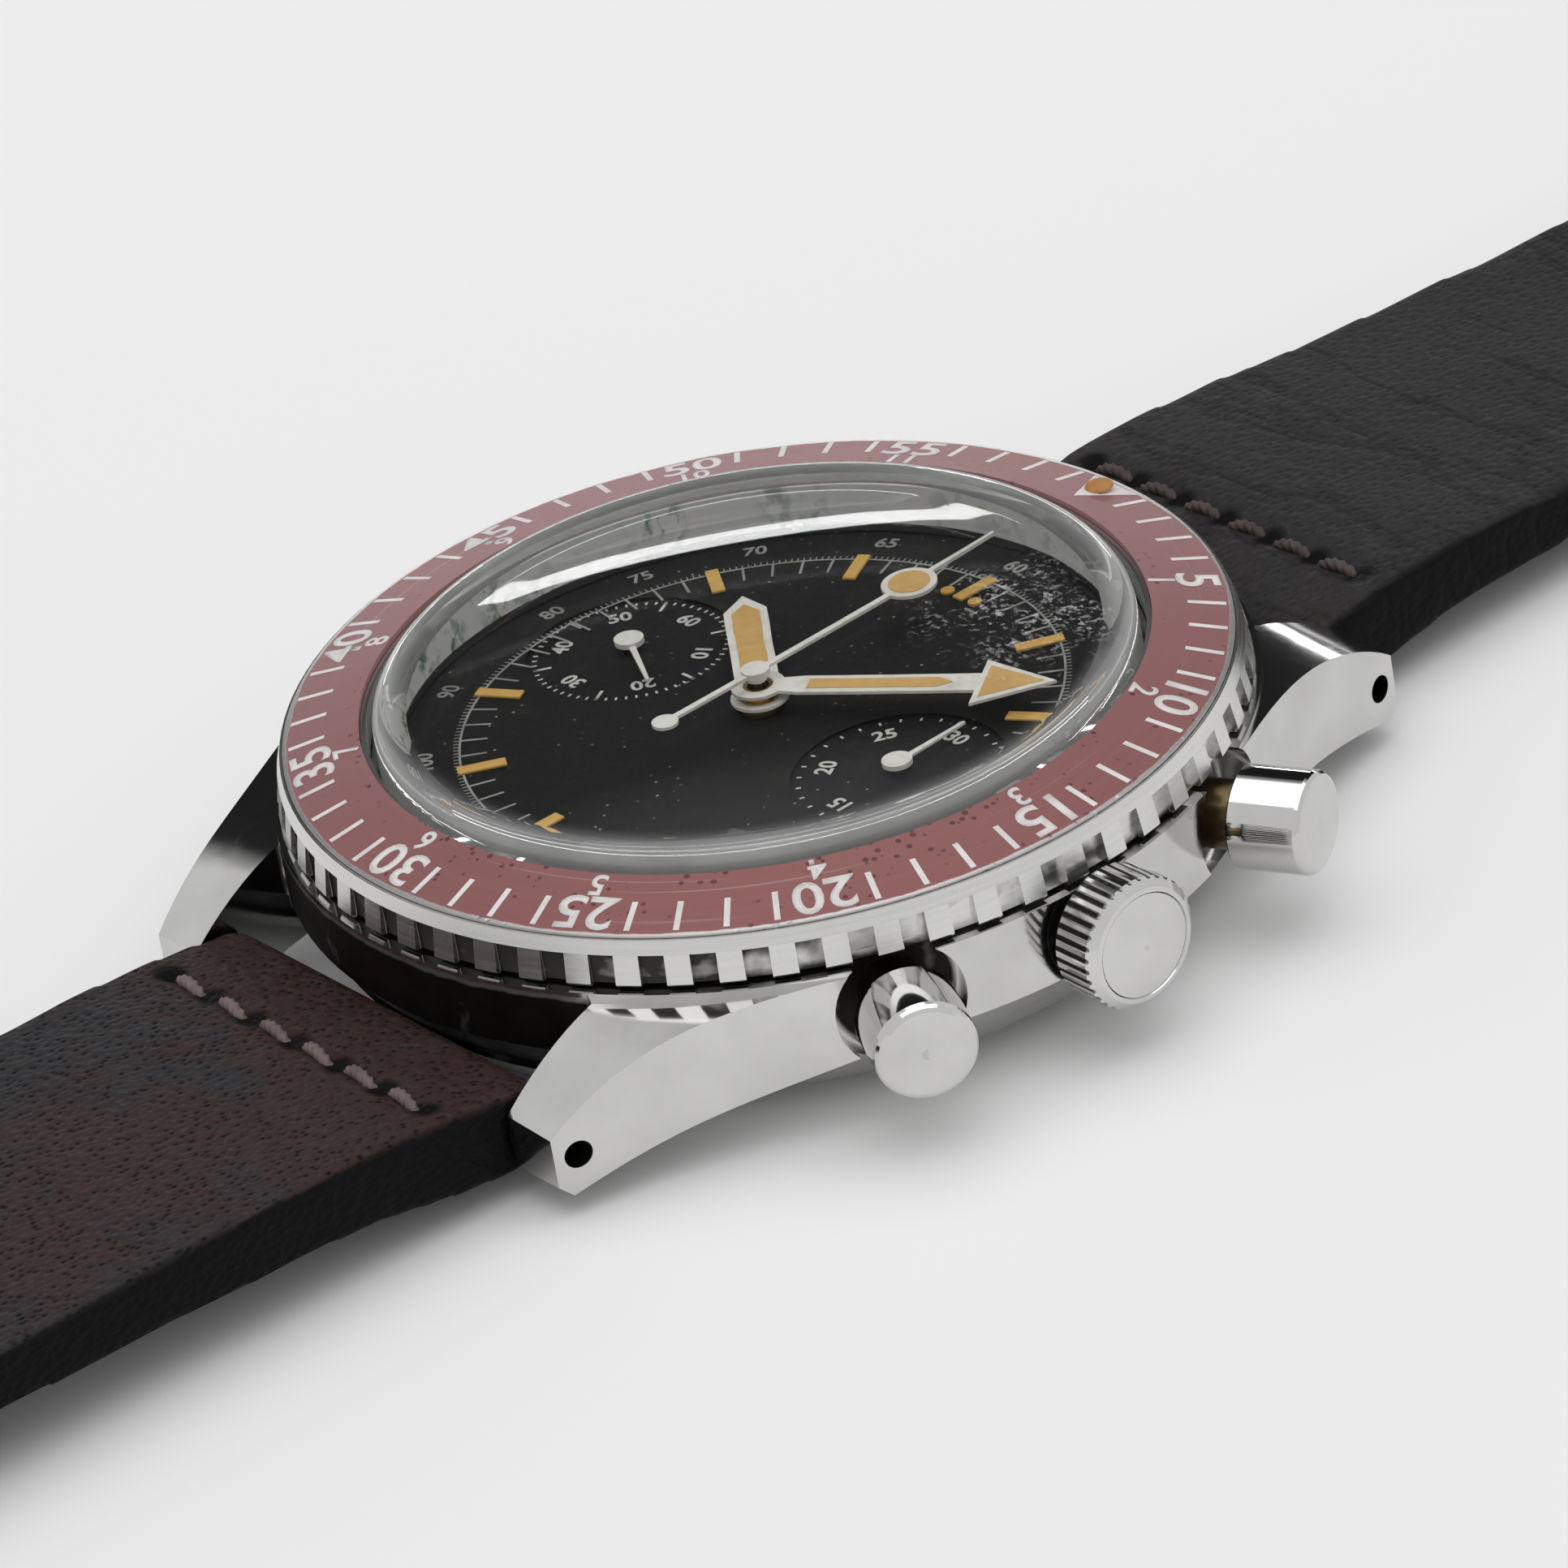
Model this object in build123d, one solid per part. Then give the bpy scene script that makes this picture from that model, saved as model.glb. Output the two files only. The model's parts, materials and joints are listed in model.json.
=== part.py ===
from build123d import *
import os
from math import atan2, cos, degrees, hypot, pi, radians, sin, sqrt

# A hand-wound chronograph wristwatch with a turning bezel and a leather strap.
# Millimetres. Z = 0 is the flat of the case back, +Z runs up the hand axis,
# +Y points to 12 o'clock and +X to the crown at 3 o'clock.

# ---- case
CASE_R = 20.0            # round flank of the case middle
CASE_TOP = 6.95          # ledge under the bezel
FLANK_LOW = 3.5          # where the flank turns into the lower bevel
BASE_Z = 2.3             # parting plane between case middle and case back
BASE_INSET = 1.1
LEDGE_W = 2.4            # ledge that the bezel stands over
NECK_H = 1.35
BASE_R = CASE_R - BASE_INSET
NECK_R = CASE_R - LEDGE_W
NECK_TOP = CASE_TOP + NECK_H

# ---- the stack of seats inside the neck
CRYSTAL_SEAT_W = 2.15    # neck wall round the crystal
FLANGE_W = 0.75          # flange that the crystal stands on
BORE_STEP = 0.15
DIAL_TOP = 6.95
FLANGE_GAP = 0.05
FLANGE_T = 0.3
CRYSTAL_R = NECK_R - CRYSTAL_SEAT_W
SIGHT_R = CRYSTAL_R - FLANGE_W
MOVEMENT_BORE_R = CRYSTAL_R - BORE_STEP
FLANGE_LOW = DIAL_TOP + FLANGE_GAP
FLANGE_TOP = FLANGE_LOW + FLANGE_T

# ---- lugs
LUG_GAP = 20.0
LUG_TIP_W = 2.6          # thickness of a lug at its tip
LUG_REACH = 2.1          # how far the lugs stand out past the round case
LUG_ROOT_ANGLE = 26.0    # where the lug's side runs into the round flank
LUG_END_TOP = 3.85
LUG_LOW = 1.0
LUG_SLOPE = 0.55         # drop of the top facet from the inner to the outer edge
LUG_TOE = 0.55
LUG_INSIDE = 8.0         # where the lug's block ends inside the case
BAR_INSET = 1.0          # spring bar axis, in from the lug's tip
BAR_Z = 2.7
LUG_HOLE_R = 0.55
INNER = LUG_GAP / 2
LUG_TIP_X = INNER + LUG_TIP_W
LUG_TIP_Y = CASE_R + LUG_REACH
BAR_Y = LUG_TIP_Y - BAR_INSET

# ---- case back and its seal
BACK_BEVEL_W = 3.7
BACK_EDGE_INSET = 1.1
BACK_EDGE_Z = 1.1
BACK_FLOOR = 1.1         # inner face
SPIGOT_W = 1.1
BACK_SPIGOT_TOP = 3.3
SPIGOT_RUNOUT = 0.1
BACK_KEY_SLOTS = 6
THREAD_GAP = 0.05
GASKET_W = 0.6
GASKET_H = 0.35
BACK_FLAT_R = BASE_R - BACK_BEVEL_W
BACK_EDGE_R = BASE_R - BACK_EDGE_INSET
BACK_SPIGOT_R = MOVEMENT_BORE_R + SPIGOT_W

# ---- bezel
BEZEL_LEDGE_GAP = 0.15   # air between the ledge and the bezel
BEZEL_INSET = 0.25
BEZEL_H = 1.35           # height of the notched edge
BEZEL_RIM_H = 0.57
BEZEL_EDGE_INSET = 0.2
BEZEL_RIM_INSET = 0.39
BEZEL_BORE_GAP = 0.3     # between crystal and bezel
NOTCHES = 60
NOTCH_DEPTH = 0.38
NOTCH_SHARE = 0.5        # share of the pitch that is notch
BEZEL_GAP = 0.06
BEZEL_TURN = -1.5        # degrees about +Z that the bezel stands turned at rest
INSERT_LIP = 0.25
INSERT_RIM_GAP = 0.14
INSERT_RISE = 2.95       # inner edge of the insert above the ledge
INSERT_FALL = 0.238      # height lost for each millimetre of radius
INSERT_T = 0.4
PIP_R = 0.62
PIP_INSET = 1.12         # the pip's centre, in from the insert's edge
PIP_H = 0.14
WIRE_R = 0.2             # wire spring that holds the bezel down
WIRE_RISE = 0.8
BEZEL_LOW = CASE_TOP + BEZEL_LEDGE_GAP
BEZEL_LOW_R = CASE_R - BEZEL_INSET
BEZEL_EDGE_R = BEZEL_LOW_R - BEZEL_EDGE_INSET
BEZEL_EDGE_Z = BEZEL_LOW + BEZEL_H
BEZEL_RIM_R = BEZEL_LOW_R - BEZEL_RIM_INSET
BEZEL_RIM_Z = BEZEL_EDGE_Z + BEZEL_RIM_H
BEZEL_BORE_R = CRYSTAL_R + BEZEL_BORE_GAP
INSERT_IN_R = BEZEL_BORE_R + INSERT_LIP
INSERT_OUT_R = BEZEL_RIM_R - INSERT_RIM_GAP
INSERT_IN_Z = CASE_TOP + INSERT_RISE
PIP_AT_R = INSERT_OUT_R - PIP_INSET
WIRE_Z = CASE_TOP + WIRE_RISE

# ---- crystal and its inner ring
CRYSTAL_WALL = 0.5
SHOULDER_R = 0.95
SHOULDER_RISE = 2.75     # centre of the shoulder's round above the ledge
DOME_RISE = 1.7
CRYSTAL_T = 1.3
TENSION_H = 1.3
SEAT_GAP = 0.02
SHOULDER_Z = CASE_TOP + SHOULDER_RISE
DOME_TOP = SHOULDER_Z + DOME_RISE
TENSION_IN_R = SIGHT_R + SEAT_GAP
TENSION_TOP = FLANGE_TOP + TENSION_H

# ---- crown, stem and their tube
STEM_Z = 4.9
CROWN_R = 2.74
CROWN_GAP = 0.3          # between the flank and the crown
CROWN_LENGTH = 2.2
CROWN_RIM_R = 2.2
CROWN_FLUTES = 36
FLUTE_R = 0.16
CROWN_BEVEL = 0.35
CROWN_DOME = 0.26
CROWN_DOME_R = 9.0
CROWN_FLOOR = 0.9        # thickness of the crown's outer wall
CROWN_TRAVEL = 0.9
TUBE_R = 1.2
STEM_R = 0.6
STEM_INNER_X = 9.6
CLUTCH_R = 0.95
RUN = 0.04               # radial running clearance of small shafts
CROWN_BACK_X = CASE_R + CROWN_GAP
CROWN_FACE_X = CROWN_BACK_X + CROWN_LENGTH
TUBE_END_X = CROWN_FACE_X - CROWN_FLOOR

# ---- pushers
PUSHER_ANGLE = 25.5
PUSHER_R = 2.1
PUSHER_GAP = 0.6         # between the flank and the cap
PUSHER_LENGTH = 3.2
PUSHER_TRAVEL = 0.8
PUSHER_WALL = 0.5
PUSHER_DOME = 0.09
PUSHER_DOME_R = 18.0
PUSHER_ROUND = 0.3       # rounded edge of the cap
PUSHER_STEM_R = 0.7
PUSHER_TUBE_R = 1.4
PUSHER_TUBE_REACH = 1.2  # how far the tube runs into the cap
PUSHER_SPRING_TURNS = 5
RECESS_R = 2.65
RECESS_DEPTH = 1.6
PUSHER_BACK = CASE_R + PUSHER_GAP
PUSHER_FACE = PUSHER_BACK + PUSHER_LENGTH
PUSHER_TUBE_END = PUSHER_BACK + PUSHER_TUBE_REACH
RECESS_FLOOR = CASE_R - RECESS_DEPTH

# ---- dial
DIAL_GAP = 0.2
DIAL_R = MOVEMENT_BORE_R - DIAL_GAP
DIAL_T = 0.42
SUBDIAL_X = 8.5
SUBDIAL_R = 4.35
SUBDIAL_SINK = 0.12
DIAL_FOOT_AT = (3.5, 12.6)
DIAL_FOOT_R = 0.35

# ---- hands
HAND_T = 0.14
HOUR_Z = DIAL_TOP + 0.47
MINUTE_Z = HOUR_Z + 0.53
SWEEP_Z = MINUTE_Z + 0.67
SUBHAND_Z = DIAL_TOP + 0.27
HOUR_ANGLE = 305.0       # clockwise from 12 o'clock
MINUTE_ANGLE = 54.5
SWEEP_ANGLE = 359.0
SECONDS_ANGLE = 117.0
COUNTER_ANGLE = 358.0
HOUR_LENGTH = 8.65
HOUR_SHOULDER = 7.35
HOUR_W = 1.8
MINUTE_LENGTH = 12.35
MINUTE_W = 1.3
ARROW_BACK = 9.15
ARROW_W = 3.4
SWEEP_LENGTH = 12.9
SWEEP_W = 0.28
SWEEP_DISC_AT = 8.3
SWEEP_DISC_R = 1.15
SWEEP_TAIL = 4.8
SWEEP_TAIL_R = 0.54
SUBHAND_LENGTH = 3.65
SUBHAND_W = 0.3
SUBHAND_HUB_R = 0.62
HUB_R = 1.2
SWEEP_HUB_R = 0.58

# ---- nested arbors on the hand axis
SWEEP_ARBOR_R = 0.16
CENTRE_ARBOR_R = 0.42
CANNON_PIPE_R = 0.62
HOUR_PIPE_R = 0.86
SMALL_ARBOR_R = 0.18

# ---- movement layers, from the back to the dial
MOVEMENT_RING_W = 1.1    # width of the ring between movement and case
PLATE_R = MOVEMENT_BORE_R - MOVEMENT_RING_W
PUSHER_TIP = PLATE_R - 0.2
CHRONO_BRIDGE_Z = (1.3, 1.75)
CHRONO_Z = (1.9, 2.15)
LEVER_Z = (1.45, 1.75)
BRIDGE_Z = (2.3, 2.9)
LEVEL_A = (3.0, 3.2)
LEVEL_B = (3.35, 3.52)
LEVEL_C = (3.62, 3.78)
PLATE_Z = (4.3, 5.7)
BARREL_Z = (3.68, 5.3)
BARREL_TEETH_Z = (4.0, 4.2)
MOTION_A = (5.8, 6.0)
MOTION_B = (6.15, 6.35)
LAYER_GAP = 0.06

# ---- wheels: tooth counts and modules
BARREL_TEETH = 64
CENTRE_PINION = 8
CENTRE_TEETH = 48
THIRD_PINION = 6
THIRD_TEETH = 45
FOURTH_PINION = 6
FOURTH_TEETH = 48
ESCAPE_PINION = 6
CANNON_TEETH = 12
MINUTE_TEETH = 36
MINUTE_PINION = 10
HOUR_TEETH = 40
BARREL_MODULE = 0.16
CENTRE_MODULE = 0.2
THIRD_MODULE = 0.2
FOURTH_MODULE = 0.14
CANNON_MODULE = 0.125
HOUR_MODULE = 0.12
TOOTH_SHARE = 0.34       # tooth thickness at the pitch circle, as a share of the pitch
TIP_SHARE = 0.16
ADDENDUM = 0.8
DEDENDUM = 1.25

# ---- places in the movement
BARREL_DIRECTION = 60.0
ESCAPE_DIRECTION = -100.0
MINUTE_WHEEL_DIRECTION = -60.0
PALLET_DIRECTION = -55.0
PALLET_GAP = 0.09
PALLET_STONE_HALF = 0.18
BALANCE_AT = (-4.0, -9.0)
COLUMN_AT = (7.9, 7.4)
LEVER_PIVOT_X = PLATE_R - 2.0
LEVER_PIVOT_Y = 1.6
ESCAPE_R = 2.0
BALANCE_R = 3.5
RATCHET_R = 2.5
CHRONO_WHEEL_R = 2.9
RECORDER_R = 2.3
COLUMN_R = 1.5
COLUMN_POST_R = 0.3
LEVER_POST_R = 0.35
LEVER_W = 0.9
LEVER_TAB_T = 0.5
LEVER_TAB_GAP = 0.3
PIVOT_R = 0.2
FORK_REACH = 2.0
BARREL_ARBOR_R = 0.7
WELL_GAP = 0.15
SCREW_R = 0.55
POST_R = 0.9

# ---- spring bars
BAR_TUBE_R = 0.85
BAR_PIN_R = 0.5
BAR_PIN_TRAVEL = 2.4
BAR_PIN_LENGTH = 5.2
BAR_PIN_SET = 1.3        # depth of the pin's end in its hole
BAR_END_GAP = 0.3        # between the bar's tube and the lug
BAR_TUBE_HALF = INNER - BAR_END_GAP

# ---- strap
STRAP_SIDE_GAP = 0.15    # between the strap and a lug
STRAP_TAPER = 1.7
STRAP_W = LUG_GAP - 2 * STRAP_SIDE_GAP
STRAP_END_W = STRAP_W - STRAP_TAPER
LOOP_WALL = 0.68         # leather folded round the spring bar
LOOP_CLEAR = 0.07
LOOP_R = BAR_TUBE_R + LOOP_CLEAR + LOOP_WALL
STRAP_TAPER_Y = 60.0     # distance from the centre at which the taper ends
LONG_FLAT_Y = 92.0       # where the long half comes down to lie flat
SHORT_END = 95.0         # buckle bar, measured from the centre
LONG_END = 138.0
STRAP_T = 2.3
SHORT_REST = 1.0         # height of the short strap's underside near the buckle
HOLES = 7
HOLE_PITCH = 6.5
HOLE_R = 0.95
FIRST_HOLE = 20.0        # from the tip
LONG_TIP = 9.0           # length of the pointed end

# ---- keepers and buckle
KEEPER_W = 5.0
KEEPER_T = 0.8
KEEPER_GAP = 0.15
FIXED_KEEPER_Y = 87.5
FREE_KEEPER_Y = 79.0
KEEPER_TRAVEL = 12.0
BUCKLE_BAR_R = 0.6
BUCKLE_ARM = 1.4
BUCKLE_LENGTH = 12.5
BUCKLE_T = 2.2
BUCKLE_CLEAR = 0.25
TONGUE_W = 1.9
TONGUE_T = 0.9


# ================================================= shared shapes

def disc(radius, low, high, x=0.0, y=0.0):
    """An upright cylinder between two heights."""
    return Pos(x, y, (low + high) / 2) * Cylinder(radius, high - low)


def ring(outer, inner, low, high, x=0.0, y=0.0):
    """An upright tube between two heights."""
    return disc(outer, low, high, x, y) - disc(inner, low - 1, high + 1, x, y)


def turned(points):
    """A closed outline of (radius, height) points turned about the hand axis."""
    outline = make_face(Polyline(*points, close=True))
    return revolve(Plane.XZ * outline, Axis.Z)


def plate(points, low, high):
    """A flat plate with a polygon outline between two heights."""
    outline = make_face(Polyline(*points, close=True))
    return Pos(0, 0, low) * extrude(outline, high - low)


def rod(radius, start, end, angle=0.0, z=STEM_Z):
    """A cylinder that lies along a radius of the case, from one distance to another."""
    bar = Pos((start + end) / 2, 0, 0) * Rot(0, 90, 0) * Cylinder(radius, end - start)
    return Pos(0, 0, z) * Rot(0, 0, angle) * bar


def cross_bar(radius, x_low, x_high, y, z):
    """A cylinder that lies across the strap."""
    return Pos((x_low + x_high) / 2, y, z) * Rot(0, 90, 0) * Cylinder(radius, x_high - x_low)


def clockwise(angle, body):
    """Turn a body clockwise as seen from the front of the watch."""
    return Rot(0, 0, -angle) * body


def towards(distance, direction, start=(0.0, 0.0)):
    """The point at a distance and direction from a start."""
    at = radians(direction)
    return (start[0] + distance * cos(at), start[1] + distance * sin(at))


def strip(start, end, width, low, high):
    """A straight flat bar between two points, with square ends."""
    across = degrees(atan2(end[1] - start[1], end[0] - start[0])) + 90
    half = width / 2
    return plate([
        towards(half, across, start),
        towards(-half, across, start),
        towards(-half, across, end),
        towards(half, across, end),
    ], low, high)


def toothed(count, module, low, high, phase=0.0, x=0.0, y=0.0):
    """A wheel with straight-sided teeth; one tooth points along the phase angle."""
    pitch_r = module * count / 2
    root = pitch_r - DEDENDUM * module
    tip = pitch_r + ADDENDUM * module
    step = 2 * pi / count
    flare = TOOTH_SHARE - TIP_SHARE
    root_half = step * (TOOTH_SHARE + flare * DEDENDUM / ADDENDUM) / 2
    tip_half = step * TIP_SHARE / 2
    points = []
    for index in range(count):
        at = radians(phase) + index * step
        for radius, turn in ((root, -root_half), (tip, -tip_half), (tip, tip_half), (root, root_half)):
            points.append((x + radius * cos(at + turn), y + radius * sin(at + turn)))
    return plate(points, low, high)


def mesh_phase(phase, count, direction, next_count):
    """The phase of the next wheel, so that its gap meets a tooth of the first one."""
    shift = ((direction - phase) / (360 / count)) % 1
    return direction + 180 + (shift + 0.5) * 360 / next_count


def crossed(wheel, radius, holes, low, high, x=0.0, y=0.0, share=0.58, hole=0.2):
    """Lighten a wheel with a ring of round holes."""
    for index in range(holes):
        at = 2 * pi * index / holes
        hole_x = x + share * radius * cos(at)
        hole_y = y + share * radius * sin(at)
        wheel = wheel - disc(hole * radius, low - 1, high + 1, hole_x, hole_y)
    return wheel


def spiral(inner, outer, turns, thickness, low, high, x=0.0, y=0.0):
    """A flat ribbon spring wound from an inner to an outer radius."""
    steps = 20 * turns
    inside = []
    outside = []
    for index in range(steps + 1):
        at = 2 * pi * turns * index / steps
        radius = inner + (outer - inner) * index / steps
        inside.append((x + radius * cos(at), y + radius * sin(at)))
        outside.append((x + (radius + thickness) * cos(at), y + (radius + thickness) * sin(at)))
    return plate(inside + outside[::-1], low, high)


# ================================================= places of the going train

CENTRE_AT = (0.0, 0.0)
FOURTH_AT = (-SUBDIAL_X, 0.0)
RECORDER_AT = (SUBDIAL_X, 0.0)

THIRD_REACH = CENTRE_MODULE * (CENTRE_TEETH + THIRD_PINION) / 2
FOURTH_REACH = THIRD_MODULE * (THIRD_TEETH + FOURTH_PINION) / 2
THIRD_X = -(SUBDIAL_X ** 2 + THIRD_REACH ** 2 - FOURTH_REACH ** 2) / (2 * SUBDIAL_X)
THIRD_AT = (THIRD_X, sqrt(THIRD_REACH ** 2 - THIRD_X ** 2))
BARREL_AT = towards(BARREL_MODULE * (BARREL_TEETH + CENTRE_PINION) / 2, BARREL_DIRECTION)
ESCAPE_REACH = FOURTH_MODULE * (FOURTH_TEETH + ESCAPE_PINION) / 2
ESCAPE_AT = towards(ESCAPE_REACH, ESCAPE_DIRECTION, FOURTH_AT)
PALLET_REACH = 2 * (ESCAPE_R + PALLET_GAP + PALLET_STONE_HALF) / sqrt(3)
PALLET_AT = towards(PALLET_REACH, PALLET_DIRECTION, ESCAPE_AT)
MOTION_REACH = CANNON_MODULE * (CANNON_TEETH + MINUTE_TEETH) / 2
MINUTE_WHEEL_AT = towards(MOTION_REACH, MINUTE_WHEEL_DIRECTION)

BARREL_R = BARREL_MODULE * (BARREL_TEETH / 2 - DEDENDUM)
BARREL_WELL_R = BARREL_MODULE * (BARREL_TEETH / 2 + ADDENDUM) + WELL_GAP

THIRD_DIRECTION = degrees(atan2(THIRD_AT[1], THIRD_AT[0]))
FOURTH_DIRECTION = degrees(atan2(-THIRD_AT[1], FOURTH_AT[0] - THIRD_AT[0]))

POSTS = {
    "barrel_bridge": ((9.9, -8.2), (0.6, 12.3), (10.9, 3.9)),
    "train_bridge": ((-9.2, 8.6), (-13.0, -1.6), (-3.2, 9.6)),
    "balance_cock": ((1.9, -12.2),),
}


# ================================================= case

def lug_section(x, drop):
    """Side outline of a lug in the plane at x, with its top lowered by drop."""
    top = Spline(
        (x, LUG_INSIDE, CASE_TOP - drop / 2),
        (x, LUG_TIP_Y - 8.6, CASE_TOP - drop / 2),
        (x, LUG_TIP_Y - 4.8, CASE_TOP - 0.45 - drop),
        (x, LUG_TIP_Y - 2.1, LUG_END_TOP + 1.5 - drop * 0.8),
        (x, LUG_TIP_Y, LUG_END_TOP - drop / 2),
    )
    end = Line((x, LUG_TIP_Y, LUG_END_TOP - drop / 2), (x, LUG_TIP_Y, LUG_LOW + LUG_TOE))
    toe = Line((x, LUG_TIP_Y, LUG_LOW + LUG_TOE), (x, LUG_TIP_Y - LUG_TOE, LUG_LOW))
    sole = Spline(
        (x, LUG_TIP_Y - LUG_TOE, LUG_LOW),
        (x, LUG_TIP_Y - 3.7, LUG_LOW + 0.75),
        (x, LUG_TIP_Y - 7.1, LUG_LOW + 1.35),
        (x, LUG_INSIDE, FLANK_LOW),
    )
    back = Line((x, LUG_INSIDE, FLANK_LOW), (x, LUG_INSIDE, CASE_TOP - drop / 2))
    return make_face(Wire([*top.edges(), *end.edges(), *toe.edges(), *sole.edges(), *back.edges()]))


def lug():
    """One lug, at the 12 o'clock end on the crown side."""
    block = loft([lug_section(INNER, 0.0), lug_section(CASE_R, 2 * LUG_SLOPE)], ruled=True)
    root = towards(CASE_R, LUG_ROOT_ANGLE)
    side = Spline(
        (LUG_TIP_X, LUG_TIP_Y),
        (LUG_TIP_X + 1.45, LUG_TIP_Y - 5.1),
        root,
        tangents=[(0.27, -1.0), (sin(radians(LUG_ROOT_ANGLE)), -cos(radians(LUG_ROOT_ANGLE)))],
    )
    rest = Polyline(root, (INNER, LUG_INSIDE + 0.5), (INNER, LUG_TIP_Y), (LUG_TIP_X, LUG_TIP_Y))
    plan = make_face(Wire([*side.edges(), *rest.edges()]))
    body = block & extrude(plan, CASE_R)
    return body - disc(BASE_R - 1.0, -1, CASE_TOP + 1) - disc(BASE_R, -1, BASE_Z)


def pusher_hole(side):
    """The recess in the flank that a pusher's cap moves into, and the bore for its tube."""
    angle = side * PUSHER_ANGLE
    recess = rod(RECESS_R, RECESS_FLOOR, CASE_R + LUG_REACH, angle)
    return recess + rod(PUSHER_TUBE_R, MOVEMENT_BORE_R - 1, CASE_R, angle)


def case_middle():
    """The steel case band with its four lugs, neck, flange and bores."""
    band = turned([
        (BACK_SPIGOT_R + THREAD_GAP, BASE_Z),
        (BASE_R, BASE_Z),
        (CASE_R, FLANK_LOW),
        (CASE_R, CASE_TOP),
        (NECK_R, CASE_TOP),
        (NECK_R, WIRE_Z - WIRE_R),
        (NECK_R - WIRE_R, WIRE_Z),
        (NECK_R, WIRE_Z + WIRE_R),
        (NECK_R, NECK_TOP),
        (CRYSTAL_R + SEAT_GAP, NECK_TOP),
        (CRYSTAL_R + SEAT_GAP, FLANGE_TOP),
        (SIGHT_R, FLANGE_TOP),
        (SIGHT_R, FLANGE_LOW),
        (MOVEMENT_BORE_R, FLANGE_LOW),
        (MOVEMENT_BORE_R, BACK_SPIGOT_TOP + SPIGOT_RUNOUT),
        (BACK_SPIGOT_R + THREAD_GAP, BACK_SPIGOT_TOP + SPIGOT_RUNOUT),
    ])
    relief = turned([
        (BASE_R - 0.3, BASE_Z - 1),
        (BASE_R - 0.3, BASE_Z),
        (CASE_R - 0.2, FLANK_LOW + 0.4),
        (CASE_R + 1, FLANK_LOW + 0.4 + 1.2 * 1.33),
        (CASE_R + 1, BASE_Z - 1),
    ])
    band = band - (relief & Box(LUG_GAP - 0.02, 3 * CASE_R, 3 * CASE_R))
    band = band - ring(
        BACK_SPIGOT_R + GASKET_W, BACK_SPIGOT_R, BASE_Z - 1, BASE_Z + GASKET_H
    )
    for side in (-1, 1):
        band = band - pusher_hole(side)
    # the left lugs have no pusher beside them, so they keep the uncut shape
    plain = lug() - cross_bar(LUG_HOLE_R, 0, 2 * CASE_R, BAR_Y, BAR_Z)
    cut = plain - pusher_hole(1)
    for corner in (cut, plain.mirror(Plane.YZ)):
        band = band + corner + corner.mirror(Plane.XZ)
    return band - rod(TUBE_R, MOVEMENT_BORE_R - 1, CASE_R + 1)


def case_back():
    """The screwed back with a threaded spigot and slots for its key."""
    cover = turned([
        (0, 0),
        (BACK_FLAT_R, 0),
        (BACK_FLAT_R + 0.6, 0.5),
        (BACK_EDGE_R - 0.3, BACK_EDGE_Z - 0.25),
        (BACK_EDGE_R, BACK_EDGE_Z),
        (BASE_R, BASE_Z),
        (BACK_SPIGOT_R, BASE_Z),
        (BACK_SPIGOT_R, BACK_SPIGOT_TOP),
        (MOVEMENT_BORE_R, BACK_SPIGOT_TOP),
        (MOVEMENT_BORE_R - 0.3, BACK_FLOOR),
        (0, BACK_FLOOR),
    ])
    slot = Pos(BACK_FLAT_R + 0.4, 0, 0) * Box(2.2, 2.6, 1.0)
    for index in range(BACK_KEY_SLOTS):
        cover = cover - Rot(0, 0, (index + 0.5) * 360 / BACK_KEY_SLOTS) * slot
    return cover


def case_back_gasket():
    """The seal between case and back, in the groove round the spigot."""
    return ring(BACK_SPIGOT_R + GASKET_W, BACK_SPIGOT_R + THREAD_GAP, BASE_Z, BASE_Z + GASKET_H)


# ================================================= bezel

def insert_height(radius):
    """Height of the insert's face at a radius."""
    return INSERT_IN_Z - INSERT_FALL * (radius - INSERT_IN_R)


def bezel_ring():
    """The steel bezel with its notched edge and the seat of the insert."""
    seat_r = INSERT_OUT_R + 0.04
    lip_r = INSERT_IN_R - 0.03
    ring_body = turned([
        (NECK_R + BEZEL_GAP, BEZEL_LOW),
        (BEZEL_LOW_R - 0.1, BEZEL_LOW),
        (BEZEL_LOW_R, BEZEL_LOW + 0.12),
        (BEZEL_EDGE_R, BEZEL_EDGE_Z),
        (BEZEL_RIM_R, BEZEL_RIM_Z),
        (seat_r, BEZEL_RIM_Z),
        (seat_r, insert_height(seat_r) - INSERT_T),
        (lip_r, insert_height(lip_r) - INSERT_T),
        (lip_r, INSERT_IN_Z - 0.25),
        (BEZEL_BORE_R, INSERT_IN_Z - 0.25),
        (BEZEL_BORE_R, NECK_TOP + 0.15),
        (NECK_R + BEZEL_GAP, NECK_TOP + 0.15),
        (NECK_R + BEZEL_GAP, WIRE_Z + WIRE_R),
        (NECK_R + BEZEL_GAP + WIRE_R, WIRE_Z),
        (NECK_R + BEZEL_GAP, WIRE_Z - WIRE_R),
    ])
    width = 2 * pi * BEZEL_LOW_R / NOTCHES * NOTCH_SHARE
    height = BEZEL_EDGE_Z - BEZEL_LOW
    notch = Pos(BEZEL_LOW_R - NOTCH_DEPTH + 1, 0, BEZEL_LOW + height / 2) * Box(2, width, height)
    notches = [Rot(0, 0, (index + 0.5) * 360 / NOTCHES) * notch for index in range(NOTCHES)]
    return Rot(0, 0, BEZEL_TURN) * (ring_body - notches)


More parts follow.
